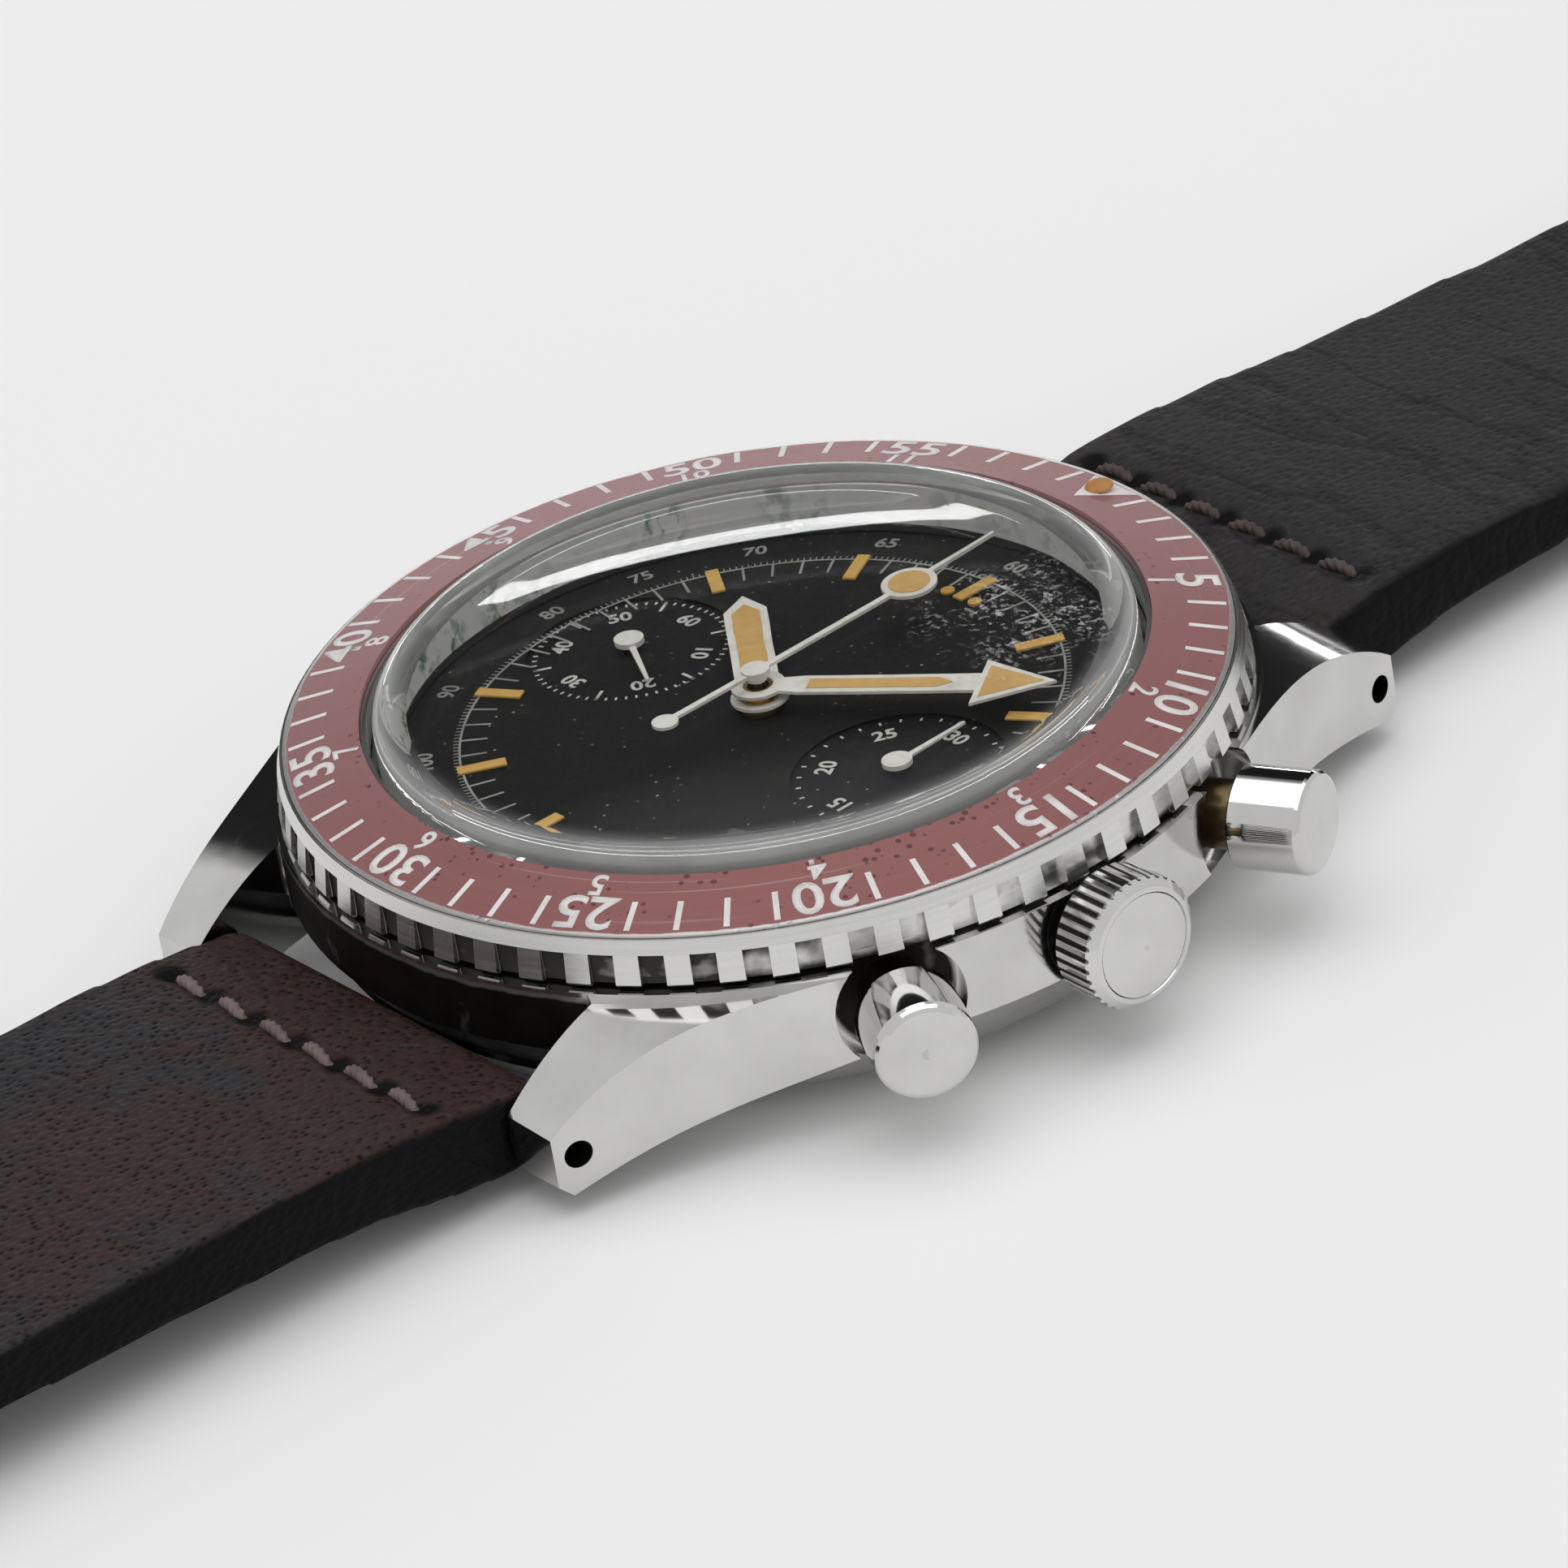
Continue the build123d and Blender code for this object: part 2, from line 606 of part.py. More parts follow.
def bezel_insert():
    """The anodised aluminium insert, a thin cone that carries the scale."""
    return turned([
        (INSERT_OUT_R, insert_height(INSERT_OUT_R)),
        (INSERT_IN_R, INSERT_IN_Z),
        (INSERT_IN_R, INSERT_IN_Z - INSERT_T),
        (INSERT_OUT_R, insert_height(INSERT_OUT_R) - INSERT_T),
    ])


def bezel_pip():
    """The luminous pip that lies on the insert at its triangle."""
    x, y = towards(PIP_AT_R, 90 + BEZEL_TURN)
    low = insert_height(PIP_AT_R - PIP_R)
    return disc(PIP_R, low, low + PIP_H, x, y)


def bezel_spring():
    """The wire that snaps between neck and bezel."""
    wire = turned([
        (NECK_R - WIRE_R + 0.03, WIRE_Z),
        (NECK_R + BEZEL_GAP / 2, WIRE_Z - WIRE_R + 0.03),
        (NECK_R + BEZEL_GAP / 2, WIRE_Z + WIRE_R - 0.03),
    ])
    return wire - Pos(NECK_R, 0, WIRE_Z) * Box(3, 2.4, 1)


# ================================================= crystal

def dome_arc(edge_r, edge_z, top_z):
    """Half the outline of a dome, from its edge to its top on the axis."""
    rise = top_z - edge_z
    sphere_r = (edge_r ** 2 + rise ** 2) / (2 * rise)
    middle_z = top_z - sphere_r + sqrt(sphere_r ** 2 - edge_r ** 2 / 4)
    return ThreePointArc((edge_r, edge_z), (edge_r / 2, middle_z), (0, top_z))


def crystal():
    """The domed acrylic crystal with an upright wall and a rounded shoulder."""
    top_r = CRYSTAL_R - SHOULDER_R
    top_z = SHOULDER_Z + SHOULDER_R
    foot = FLANGE_TOP + SEAT_GAP
    wall_r = CRYSTAL_R - CRYSTAL_WALL
    under_r = wall_r - 1.0
    under_z = top_z - CRYSTAL_T - 0.3
    turn = radians(45)
    middle = (top_r + SHOULDER_R * sin(turn), SHOULDER_Z + SHOULDER_R * sin(turn))
    outline = Wire([
        Line((CRYSTAL_R, foot), (CRYSTAL_R, SHOULDER_Z)).edge(),
        ThreePointArc((CRYSTAL_R, SHOULDER_Z), middle, (top_r, top_z)).edge(),
        dome_arc(top_r, top_z, DOME_TOP).edge(),
        Line((0, DOME_TOP), (0, DOME_TOP - CRYSTAL_T)).edge(),
        dome_arc(under_r, under_z, DOME_TOP - CRYSTAL_T).edge(),
        Line((under_r, under_z), (wall_r, TENSION_TOP + 0.1)).edge(),
        Line((wall_r, TENSION_TOP + 0.1), (wall_r, foot)).edge(),
        Line((wall_r, foot), (CRYSTAL_R, foot)).edge(),
    ])
    return revolve(Plane.XZ * make_face(outline), Axis.Z)


def tension_ring():
    """The steel ring inside the crystal's wall, which spreads it against the case."""
    outer = CRYSTAL_R - CRYSTAL_WALL - SEAT_GAP
    return turned([
        (TENSION_IN_R, FLANGE_TOP + SEAT_GAP),
        (outer, FLANGE_TOP + SEAT_GAP),
        (outer, TENSION_TOP),
        (TENSION_IN_R + 0.1, TENSION_TOP),
    ])


# ================================================= crown and pushers

def domed_disc(radius, low, top, sphere_r):
    """An upright disc with a spherical top."""
    return disc(radius, low, top) & Pos(0, 0, top - sphere_r) * Sphere(sphere_r)


def crown():
    """The fluted crown with a domed face inside a raised rim."""
    face_r = CROWN_RIM_R - 0.06
    body = turned([
        (0, CROWN_BACK_X),
        (CROWN_R - 0.12, CROWN_BACK_X),
        (CROWN_R, CROWN_BACK_X + 0.15),
        (CROWN_R, CROWN_FACE_X - CROWN_BEVEL),
        (CROWN_R - CROWN_BEVEL, CROWN_FACE_X),
        (CROWN_RIM_R, CROWN_FACE_X + 0.05),
        (face_r, CROWN_FACE_X - 0.05),
        (0, CROWN_FACE_X - 0.05),
    ])
    body = body + domed_disc(face_r, CROWN_FACE_X - 0.1, CROWN_FACE_X + CROWN_DOME, CROWN_DOME_R)
    body = body - disc(TUBE_R + 0.55, CROWN_BACK_X - 1, TUBE_END_X - 0.3)
    body = body - disc(TUBE_R + RUN, CROWN_BACK_X, TUBE_END_X + 0.1)
    body = body - disc(STEM_R, TUBE_END_X, TUBE_END_X + 0.4)
    for index in range(CROWN_FLUTES):
        x, y = towards(CROWN_R + FLUTE_R * 0.35, index * 360 / CROWN_FLUTES)
        body = body - disc(FLUTE_R, CROWN_BACK_X - 1, CROWN_FACE_X - 0.25, x, y)
    return Pos(0, 0, STEM_Z) * Rot(0, 90, 0) * body


def crown_gasket():
    """The seal that sits in the crown and slides on the tube."""
    shape = ring(TUBE_R + 0.5, TUBE_R + RUN, CROWN_BACK_X + 0.4, CROWN_BACK_X + 0.85)
    return Pos(0, 0, STEM_Z) * Rot(0, 90, 0) * shape


def winding_stem():
    """The stem with the clutch wheel on its inner end."""
    shaft = rod(STEM_R, STEM_INNER_X, TUBE_END_X + 0.4)
    return shaft + rod(CLUTCH_R, STEM_INNER_X + 0.6, STEM_INNER_X + 1.6)


def crown_tube():
    """The tube pressed into the case for the stem."""
    return rod(TUBE_R, MOVEMENT_BORE_R, TUBE_END_X) - rod(STEM_R + RUN, MOVEMENT_BORE_R - 1, TUBE_END_X + 1)


def pusher(angle):
    """A pump pusher: a polished cap on a stem that slides in its tube."""
    cap_end = PUSHER_FACE - PUSHER_WALL
    cap = turned([
        (PUSHER_TUBE_R + 0.1, PUSHER_BACK),
        (PUSHER_R - 0.08, PUSHER_BACK),
        (PUSHER_R, PUSHER_BACK + 0.08),
        (PUSHER_R, PUSHER_FACE - 1.15 * PUSHER_ROUND),
        (PUSHER_R - 0.13 * PUSHER_ROUND, PUSHER_FACE - 0.67 * PUSHER_ROUND),
        (PUSHER_R - 0.47 * PUSHER_ROUND, PUSHER_FACE - 0.23 * PUSHER_ROUND),
        (PUSHER_R - PUSHER_ROUND, PUSHER_FACE),
        (0, PUSHER_FACE),
        (0, cap_end),
        (PUSHER_TUBE_R + 0.1, cap_end),
    ])
    cap = cap + domed_disc(PUSHER_R - PUSHER_ROUND, cap_end, PUSHER_FACE + PUSHER_DOME, PUSHER_DOME_R)
    stem = disc(PUSHER_STEM_R, PUSHER_TIP, cap_end + 0.2)
    return Pos(0, 0, STEM_Z) * Rot(0, 0, angle) * Rot(0, 90, 0) * (cap + stem)


def pusher_tubes():
    """The two tubes pressed into the case, bored for the stems and their springs."""
    tubes = []
    for angle in (-PUSHER_ANGLE, PUSHER_ANGLE):
        tube = rod(PUSHER_TUBE_R, MOVEMENT_BORE_R, PUSHER_TUBE_END, angle)
        tube = tube - rod(PUSHER_STEM_R + RUN, MOVEMENT_BORE_R - 1, PUSHER_TUBE_END + 1, angle)
        tubes.append(tube - rod(PUSHER_TUBE_R - 0.25, RECESS_FLOOR - 0.4, PUSHER_TUBE_END + 1, angle))
    return Compound(tubes)


def pusher_springs():
    """The return springs, drawn at their pressed length as stacks of turns."""
    turns = []
    pitch = (PUSHER_TUBE_END - RECESS_FLOOR - 0.6) / PUSHER_SPRING_TURNS
    for angle in (-PUSHER_ANGLE, PUSHER_ANGLE):
        for index in range(PUSHER_SPRING_TURNS):
            start = RECESS_FLOOR - 0.3 + index * pitch
            coil = rod(PUSHER_TUBE_R - 0.3, start, start + pitch * 0.5, angle)
            turns.append(coil - rod(PUSHER_STEM_R + 0.08, start - 1, start + 1, angle))
    return Compound(turns)


# ================================================= dial and hands

def dial():
    """The dial with two sunk registers, arbor holes and feet."""
    foot_x, foot_y = DIAL_FOOT_AT
    face = disc(DIAL_R, DIAL_TOP - DIAL_T, DIAL_TOP)
    for side in (-1, 1):
        x = side * SUBDIAL_X
        face = face - disc(SUBDIAL_R, DIAL_TOP - SUBDIAL_SINK, DIAL_TOP + 1, x)
        face = face - disc(SMALL_ARBOR_R + 0.12, 0, DIAL_TOP + 1, x)
        face = face + disc(DIAL_FOOT_R, PLATE_Z[1] - 0.9, DIAL_TOP - DIAL_T / 2, side * foot_x, side * foot_y)
    return face - disc(HOUR_PIPE_R + 0.1, 0, DIAL_TOP + 1)


def hour_hand():
    """A pointed baton with a window for the luminous fill."""
    blade = plate([
        (-HOUR_W / 2, 0),
        (HOUR_W / 2, 0),
        (HOUR_W / 2, HOUR_SHOULDER),
        (0, HOUR_LENGTH),
        (-HOUR_W / 2, HOUR_SHOULDER),
    ], HOUR_Z, HOUR_Z + HAND_T)
    hub = disc(HUB_R, HOUR_Z, HOUR_Z + HAND_T) + disc(HOUR_PIPE_R + 0.18, HOUR_Z - 0.12, HOUR_Z)
    return clockwise(HOUR_ANGLE, blade + hub - disc(HOUR_PIPE_R, 0, HOUR_Z + 1))


def minute_hand():
    """A baton that ends in a large arrowhead."""
    half = MINUTE_W / 2
    blade = plate([
        (-half * 0.6, 0),
        (half * 0.6, 0),
        (half, 1.8),
        (half, ARROW_BACK),
        (ARROW_W / 2, ARROW_BACK),
        (0, MINUTE_LENGTH),
        (-ARROW_W / 2, ARROW_BACK),
        (-half, ARROW_BACK),
        (-half, 1.8),
    ], MINUTE_Z, MINUTE_Z + HAND_T)
    hub = disc(HUB_R * 0.92, MINUTE_Z, MINUTE_Z + HAND_T)
    hub = hub + disc(CANNON_PIPE_R + 0.2, MINUTE_Z - 0.12, MINUTE_Z)
    return clockwise(MINUTE_ANGLE, blade + hub - disc(CANNON_PIPE_R, 0, MINUTE_Z + 1))


def chronograph_hand():
    """The slim sweep hand with a luminous disc and a round counterweight."""
    half = SWEEP_W / 2
    high = SWEEP_Z + HAND_T
    blade = plate([
        (-half, -SWEEP_TAIL),
        (half, -SWEEP_TAIL),
        (half, SWEEP_DISC_AT),
        (half * 0.5, SWEEP_LENGTH),
        (-half * 0.5, SWEEP_LENGTH),
        (-half, SWEEP_DISC_AT),
    ], SWEEP_Z, high)
    blade = blade + disc(SWEEP_DISC_R, SWEEP_Z, high, 0, SWEEP_DISC_AT)
    blade = blade + disc(SWEEP_TAIL_R, SWEEP_Z, high, 0, -SWEEP_TAIL)
    hub = disc(SWEEP_HUB_R, SWEEP_Z - 0.05, high + 0.1) + disc(0.4, SWEEP_Z - 0.3, SWEEP_Z)
    return clockwise(SWEEP_ANGLE, blade + hub - disc(SWEEP_ARBOR_R, 0, high))


def register_hand(x, angle):
    """A short hand for one of the registers."""
    high = SUBHAND_Z + 0.12
    blade = plate([
        (-SUBHAND_W / 2, 0),
        (SUBHAND_W / 2, 0),
        (SUBHAND_W / 4, SUBHAND_LENGTH),
        (-SUBHAND_W / 4, SUBHAND_LENGTH),
    ], SUBHAND_Z, high)
    hub = disc(SUBHAND_HUB_R, SUBHAND_Z, high + 0.12)
    return Pos(x, 0, 0) * clockwise(angle, blade + hub - disc(SMALL_ARBOR_R, 0, high))


# ================================================= movement plates

def main_plate():
    """The main plate, with wells for the barrel and levers and holes for arbors."""
    low, high = PLATE_Z
    foot_x, foot_y = DIAL_FOOT_AT
    base = disc(PLATE_R, low, high)
    base = base - disc(BARREL_WELL_R, low - 1, BARREL_Z[1] + LAYER_GAP, *BARREL_AT)
    base = base - disc(CENTRE_ARBOR_R + RUN, 0, high + 1)
    base = base - disc(CENTRE_MODULE * 4.2, low - 1, low + 0.2)
    for place in (FOURTH_AT, RECORDER_AT):
        base = base - disc(SMALL_ARBOR_R + RUN, 0, high + 1, *place)
    for place in (THIRD_AT, ESCAPE_AT, PALLET_AT, BALANCE_AT):
        base = base - disc(0.2 + RUN, 0, low + 0.6, *place)
    base = base - disc(0.3 + RUN, high - 0.5, high + 1, *MINUTE_WHEEL_AT)
    base = base - disc(0.7 + RUN, 0, high + 1, *BARREL_AT)
    base = base - rod(STEM_R + RUN, STEM_INNER_X - 0.2, PLATE_R + 1)
    clutch = (STEM_INNER_X + 0.4, STEM_INNER_X + 2.0 + CROWN_TRAVEL)
    base = base - rod(CLUTCH_R + 0.15, *clutch)
    for side in (-1, 1):
        base = base - disc(DIAL_FOOT_R + 0.02, 0, high + 1, side * foot_x, side * foot_y)
        notch = Pos(PLATE_R, 0, (low + high) / 2) * Box(4.4, 3.4, high - low + 1)
        base = base - Rot(0, 0, side * PUSHER_ANGLE) * notch
    return base


def bridge(name, outline, arbors):
    """A bridge of the movement: a plate on posts, bored for its arbors and screws."""
    low, high = BRIDGE_Z
    body = plate(outline, low, high) & disc(PLATE_R - 0.2, low, high)
    for x, y in POSTS[name]:
        body = body + disc(POST_R, high - 0.1, PLATE_Z[0], x, y)
        body = body - disc(SCREW_R, 0, low + 0.3, x, y)
        body = body - disc(SCREW_R * 0.6, 0, PLATE_Z[0], x, y)
    for place, radius in arbors:
        body = body - disc(radius + RUN, 0, high + 1, *place)
    for side in (-1, 1):
        notch = Pos(PLATE_R, 0, (low + high) / 2) * Box(4.4, 3.4, high - low + 1)
        body = body - Rot(0, 0, side * PUSHER_ANGLE) * notch
    return body


def barrel_bridge():
    """The bridge over the barrel, the recorder arbor and the chronograph levers."""
    past = PLATE_R + 0.3
    outline = [
        (-2.9, past), (-1.3, 4.2), (1.9, 1.7), (1.9, -2.6),
        (4.4, -8.5), (5.4, -past), (past, -past), (past, past),
    ]
    arbors = [(BARREL_AT, BARREL_ARBOR_R), (RECORDER_AT, SMALL_ARBOR_R), (COLUMN_AT, COLUMN_POST_R)]
    for side in (-1, 1):
        arbors.append(((LEVER_PIVOT_X, side * LEVER_PIVOT_Y), LEVER_POST_R))
    return bridge("barrel_bridge", outline, arbors)


def train_bridge():
    """The bridge over the centre, third, fourth and escape wheels."""
    past = PLATE_R + 0.3
    outline = [
        (-past, -5.6), (-6.5, -5.6), (-4.5, -2.2), (1.6, -2.2),
        (1.6, 1.5), (-1.6, 4.0), (-3.2, past), (-past, past),
    ]
    arbors = [(CENTRE_AT, CENTRE_ARBOR_R), (THIRD_AT, 0.2), (FOURTH_AT, 0.2), (ESCAPE_AT, 0.2)]
    return bridge("train_bridge", outline, arbors)


def balance_cock():
    """The cock that carries the balance's upper pivot."""
    outline = [(-5.2, -8.0), (-3.7, -10.5), (1.2, -13.9), (3.4, -11.2), (-3.0, -7.7)]
    return bridge("balance_cock", outline, [(BALANCE_AT, 0.15)])


def chronograph_bridge():
    """The bridge over the chronograph wheel and the minute recorder."""
    low, high = CHRONO_BRIDGE_Z
    body = plate([(-1.4, -1.3), (9.9, -1.3), (9.9, 1.3), (-1.4, 1.3)], low, high)
    for x, y in ((4.4, 0.0),):
        body = body + disc(POST_R, high - 0.1, BRIDGE_Z[0], x, y)
        body = body - disc(SCREW_R, 0, low + 0.2, x, y)
    for place in (CENTRE_AT, RECORDER_AT):
        body = body - disc(0.12 + RUN, 0, high + 1, *place)
    return body


def movement_ring():
    """The steel ring that holds the movement in the case."""
    band = ring(MOVEMENT_BORE_R - 0.05, PLATE_R + 0.05, PLATE_Z[0] - 0.5, DIAL_TOP - DIAL_T - 0.05)
    band = band - rod(STEM_R + 0.15, PLATE_R - 1, MOVEMENT_BORE_R + 1)
    for side in (-1, 1):
        band = band - rod(PUSHER_STEM_R + 0.15, PLATE_R - 1, MOVEMENT_BORE_R + 1, side * PUSHER_ANGLE)
    return band


def bridge_screws():
    """Slotted screws that hold the bridges down."""
    screws = []
    low = BRIDGE_Z[0]
    for places in POSTS.values():
        for x, y in places:
            head = disc(SCREW_R - 0.04, low + 0.02, low + 0.3, x, y)
            shank = disc(SCREW_R * 0.6 - 0.04, low + 0.3, PLATE_Z[0] - 0.1, x, y)
            slot = Pos(x, y, low) * Box(2 * SCREW_R, 0.16, 0.2)
            screws.append(head + shank - slot)
    return Compound(screws)


# ================================================= barrel and winding

def barrel():
    """The going barrel: a toothed drum with its lid."""
    low, high = BARREL_Z
    drum = toothed(BARREL_TEETH, BARREL_MODULE, *BARREL_TEETH_Z, barrel_phase, *BARREL_AT)
    drum = drum + disc(BARREL_R - 0.1, low, high, *BARREL_AT)
    drum = drum - disc(BARREL_R - 0.45, low + 0.2, high - 0.2, *BARREL_AT)
    return drum - disc(0.7 + RUN, 0, high + 1, *BARREL_AT)


def mainspring():
    """The mainspring, wound inside the barrel."""
    low, high = BARREL_Z
    return spiral(1.6, BARREL_R - 0.7, 5, 0.14, low + 0.3, high - 0.3, *BARREL_AT)


def ratchet_wheel():
    """The ratchet wheel on the barrel arbor, which winds the spring."""
    low, high = CHRONO_Z
    x, y = BARREL_AT
    teeth = 24
    points = []
    for index in range(teeth):
        for radius, turn in ((RATCHET_R, 0.0), (RATCHET_R - 0.28, 0.3)):
            points.append(towards(radius, (index + turn) * 360 / teeth, BARREL_AT))
    wheel = plate(points, low, high)
    arbor = disc(0.7, low, BARREL_Z[1] + LAYER_GAP, x, y)
    return wheel + arbor + disc(0.45, low - 0.25, low, x, y)


def click():
    """The click that keeps the ratchet wheel from running back."""
    low, high = CHRONO_Z
    x, y = CLICK_AT
    tip = towards(RATCHET_R + 0.12, degrees(atan2(y - BARREL_AT[1], x - BARREL_AT[0])) - 24, BARREL_AT)
    along = degrees(atan2(tip[1] - y, tip[0] - x))
    side = towards(0.45, along + 90, CLICK_AT)
    other = towards(0.45, along - 90, CLICK_AT)
    body = plate([side, tip, other], low, high) + disc(0.6, low, high, x, y)
    return body - disc(0.3, 0, high + 1, x, y)


# ================================================= going train

def centre_wheel():
    """The centre wheel on its hollow arbor, with the pinion that the barrel drives."""
    wheel = toothed(CENTRE_TEETH, CENTRE_MODULE, *LEVEL_A, centre_phase)
    wheel = crossed(wheel, CENTRE_MODULE * CENTRE_TEETH / 2, 5, *LEVEL_A)
    wheel = wheel + disc(CENTRE_ARBOR_R, BRIDGE_Z[0] + 0.05, MOTION_A[1] - 0.02)
    low, high = BARREL_TEETH_Z
    wheel = wheel + toothed(CENTRE_PINION, BARREL_MODULE, low - 0.1, high + 0.1, centre_pinion_phase)
    return wheel - disc(SWEEP_ARBOR_R + RUN, 0, DIAL_TOP)


def third_wheel():
    """The third wheel with its pinion."""
    x, y = THIRD_AT
    wheel = toothed(THIRD_TEETH, THIRD_MODULE, *LEVEL_B, third_phase, x, y)
    wheel = crossed(wheel, THIRD_MODULE * THIRD_TEETH / 2, 5, *LEVEL_B, x, y)
    low, high = LEVEL_A
    wheel = wheel + toothed(THIRD_PINION, CENTRE_MODULE, low - 0.06, LEVEL_B[1], third_pinion_phase, x, y)
    return wheel + disc(0.2, BRIDGE_Z[0] + 0.1, PLATE_Z[0] + 0.5, x, y)


def fourth_wheel():
    """The fourth wheel, whose long pivot carries the running seconds hand."""
    x, y = FOURTH_AT
    wheel = toothed(FOURTH_TEETH, FOURTH_MODULE, *LEVEL_A, fourth_phase, x, y)
    wheel = crossed(wheel, FOURTH_MODULE * FOURTH_TEETH / 2, 5, *LEVEL_A, x, y)
    pinion_top = LEVEL_B[1] + 0.06
    wheel = wheel + toothed(FOURTH_PINION, THIRD_MODULE, LEVEL_A[0], pinion_top, fourth_pinion_phase, x, y)
    wheel = wheel + disc(0.2, BRIDGE_Z[0] + 0.1, LEVEL_B[1], x, y)
    return wheel + disc(SMALL_ARBOR_R, LEVEL_B[1] - 0.1, SUBHAND_Z + 0.1, x, y)


def escape_wheel():
    """The escape wheel with raked teeth, and its pinion."""
    points = []
    teeth = 15
    root = ESCAPE_R - 0.6
    for index in range(teeth):
        for radius, turn in ((ESCAPE_R, 0.0), (ESCAPE_R - 0.1, 0.16), (root, 0.3), (root, 0.85)):
            points.append(towards(radius, (index + turn) * 360 / teeth, ESCAPE_AT))
    wheel = crossed(plate(points, *LEVEL_C), ESCAPE_R - 0.5, 4, *LEVEL_C, *ESCAPE_AT, 0.55, 0.22)
    low = LEVEL_A[0] - 0.06
    wheel = wheel + toothed(ESCAPE_PINION, FOURTH_MODULE, low, LEVEL_C[1], escape_phase, *ESCAPE_AT)
    return wheel + disc(0.2, BRIDGE_Z[0] + 0.1, PLATE_Z[0] + 0.5, *ESCAPE_AT)


def pallet_fork():
    """The lever of the escapement, with two stones and a fork."""
    low, high = LEVEL_C
    x, y = PALLET_AT
    to_balance = degrees(atan2(BALANCE_AT[1] - y, BALANCE_AT[0] - x))
    body = disc(0.45, low, high, x, y)
    for turn in (-60, 60):
        stone = towards(PALLET_REACH / 2, PALLET_DIRECTION + 180 + turn, PALLET_AT)
        body = body + strip(PALLET_AT, stone, 2 * PALLET_STONE_HALF, low, high)
    fork = towards(FORK_REACH, to_balance, PALLET_AT)
    body = body + strip(PALLET_AT, fork, 0.4, low, high)
    return body + disc(PIVOT_R, low - 0.3, PLATE_Z[0] + 0.4, x, y)


def balance_wheel():
    """The balance: a rim on two arms and its staff."""
    low, high = LEVEL_B
    x, y = BALANCE_AT
    rim = ring(BALANCE_R, BALANCE_R - 0.55, low, high + 0.1, x, y)
    arms = Pos(x, y, (low + high) / 2) * Box(2 * BALANCE_R - 0.4, 0.5, high - low)
    roller = disc(0.7, high - 0.05, LEVEL_C[1], x, y)
    return rim + arms + roller + disc(0.15, BRIDGE_Z[0] + 0.1, PLATE_Z[0] + 0.5, x, y)


def hairspring():
    """The hairspring between the balance and its cock."""
    return spiral(0.5, 2.3, 6, 0.06, 3.02, 3.2, *BALANCE_AT)


# ================================================= motion work

def cannon_pinion():
    """The cannon pinion on the centre arbor, which carries the minute hand."""
    low, high = MOTION_A
    pinion = toothed(CANNON_TEETH, CANNON_MODULE, low, high, cannon_phase)
    pipe = disc(CANNON_PIPE_R, low, MINUTE_Z + HAND_T - 0.04)
    return pinion + pipe - disc(CENTRE_ARBOR_R + RUN, 0, DIAL_TOP + 2)


def hour_wheel():
    """The hour wheel with its pipe for the hour hand."""
    low, high = MOTION_B
    wheel = toothed(HOUR_TEETH, HOUR_MODULE, low, high, hour_phase)
    pipe = disc(HOUR_PIPE_R, low, HOUR_Z + HAND_T - 0.04)
    return wheel + pipe - disc(CANNON_PIPE_R + RUN, 0, DIAL_TOP + 2)


def minute_wheel():
    """The wheel that gears the cannon pinion down to the hour wheel."""
    x, y = MINUTE_WHEEL_AT
    wheel = toothed(MINUTE_TEETH, CANNON_MODULE, *MOTION_A, minute_phase, x, y)
    pinion = toothed(MINUTE_PINION, HOUR_MODULE, MOTION_A[0], MOTION_B[1] + 0.05, minute_pinion_phase, x, y)
    return wheel + pinion + disc(0.3, PLATE_Z[1] - 0.4, MOTION_A[0], x, y)


# ================================================= chronograph work

def chronograph_wheel():
    """The chronograph wheel, whose arbor runs through the centre to the sweep hand."""
    low, high = CHRONO_Z
    wheel = crossed(disc(CHRONO_WHEEL_R, low, high), CHRONO_WHEEL_R, 5, low, high)
    heart = disc(0.75, low - 0.1, low, 0.25, 0)
    lower = disc(0.12, CHRONO_BRIDGE_Z[0] + 0.05, low)
    return wheel + heart + lower + disc(SWEEP_ARBOR_R, low, SWEEP_Z + HAND_T - 0.02)


def minute_recorder_wheel():
    """The recorder wheel with one tooth for each counted minute."""
    low, high = CHRONO_Z
    x, y = RECORDER_AT
    teeth = 30
    points = []
    for index in range(teeth):
        for radius, turn in ((RECORDER_R, 0.0), (RECORDER_R - 0.25, 0.5)):
            points.append(towards(radius, (index + turn) * 360 / teeth, RECORDER_AT))
    wheel = crossed(plate(points, low, high), RECORDER_R, 4, low, high, x, y)
    wheel = wheel + disc(0.12, CHRONO_BRIDGE_Z[0] + 0.05, low, x, y)
    return wheel + disc(SMALL_ARBOR_R, low, SUBHAND_Z + 0.1, x, y)


def column_wheel():
    """The column wheel that directs the levers: a ratchet with six upright columns."""
    x, y = COLUMN_AT
    low = LEVER_Z[0]
    base = disc(COLUMN_R, CHRONO_Z[0], CHRONO_Z[1], x, y)
    columns = ring(COLUMN_R - 0.05, COLUMN_R - 0.5, low, CHRONO_Z[0], x, y)
    for index in range(3):
        gap = Pos(x, y, low) * Rot(0, 0, index * 60) * Box(4 * COLUMN_R, 0.7, 2 * (CHRONO_Z[0] - low))
        columns = columns - gap
    return base + columns + disc(COLUMN_POST_R, low, BRIDGE_Z[0] + 0.2, x, y)


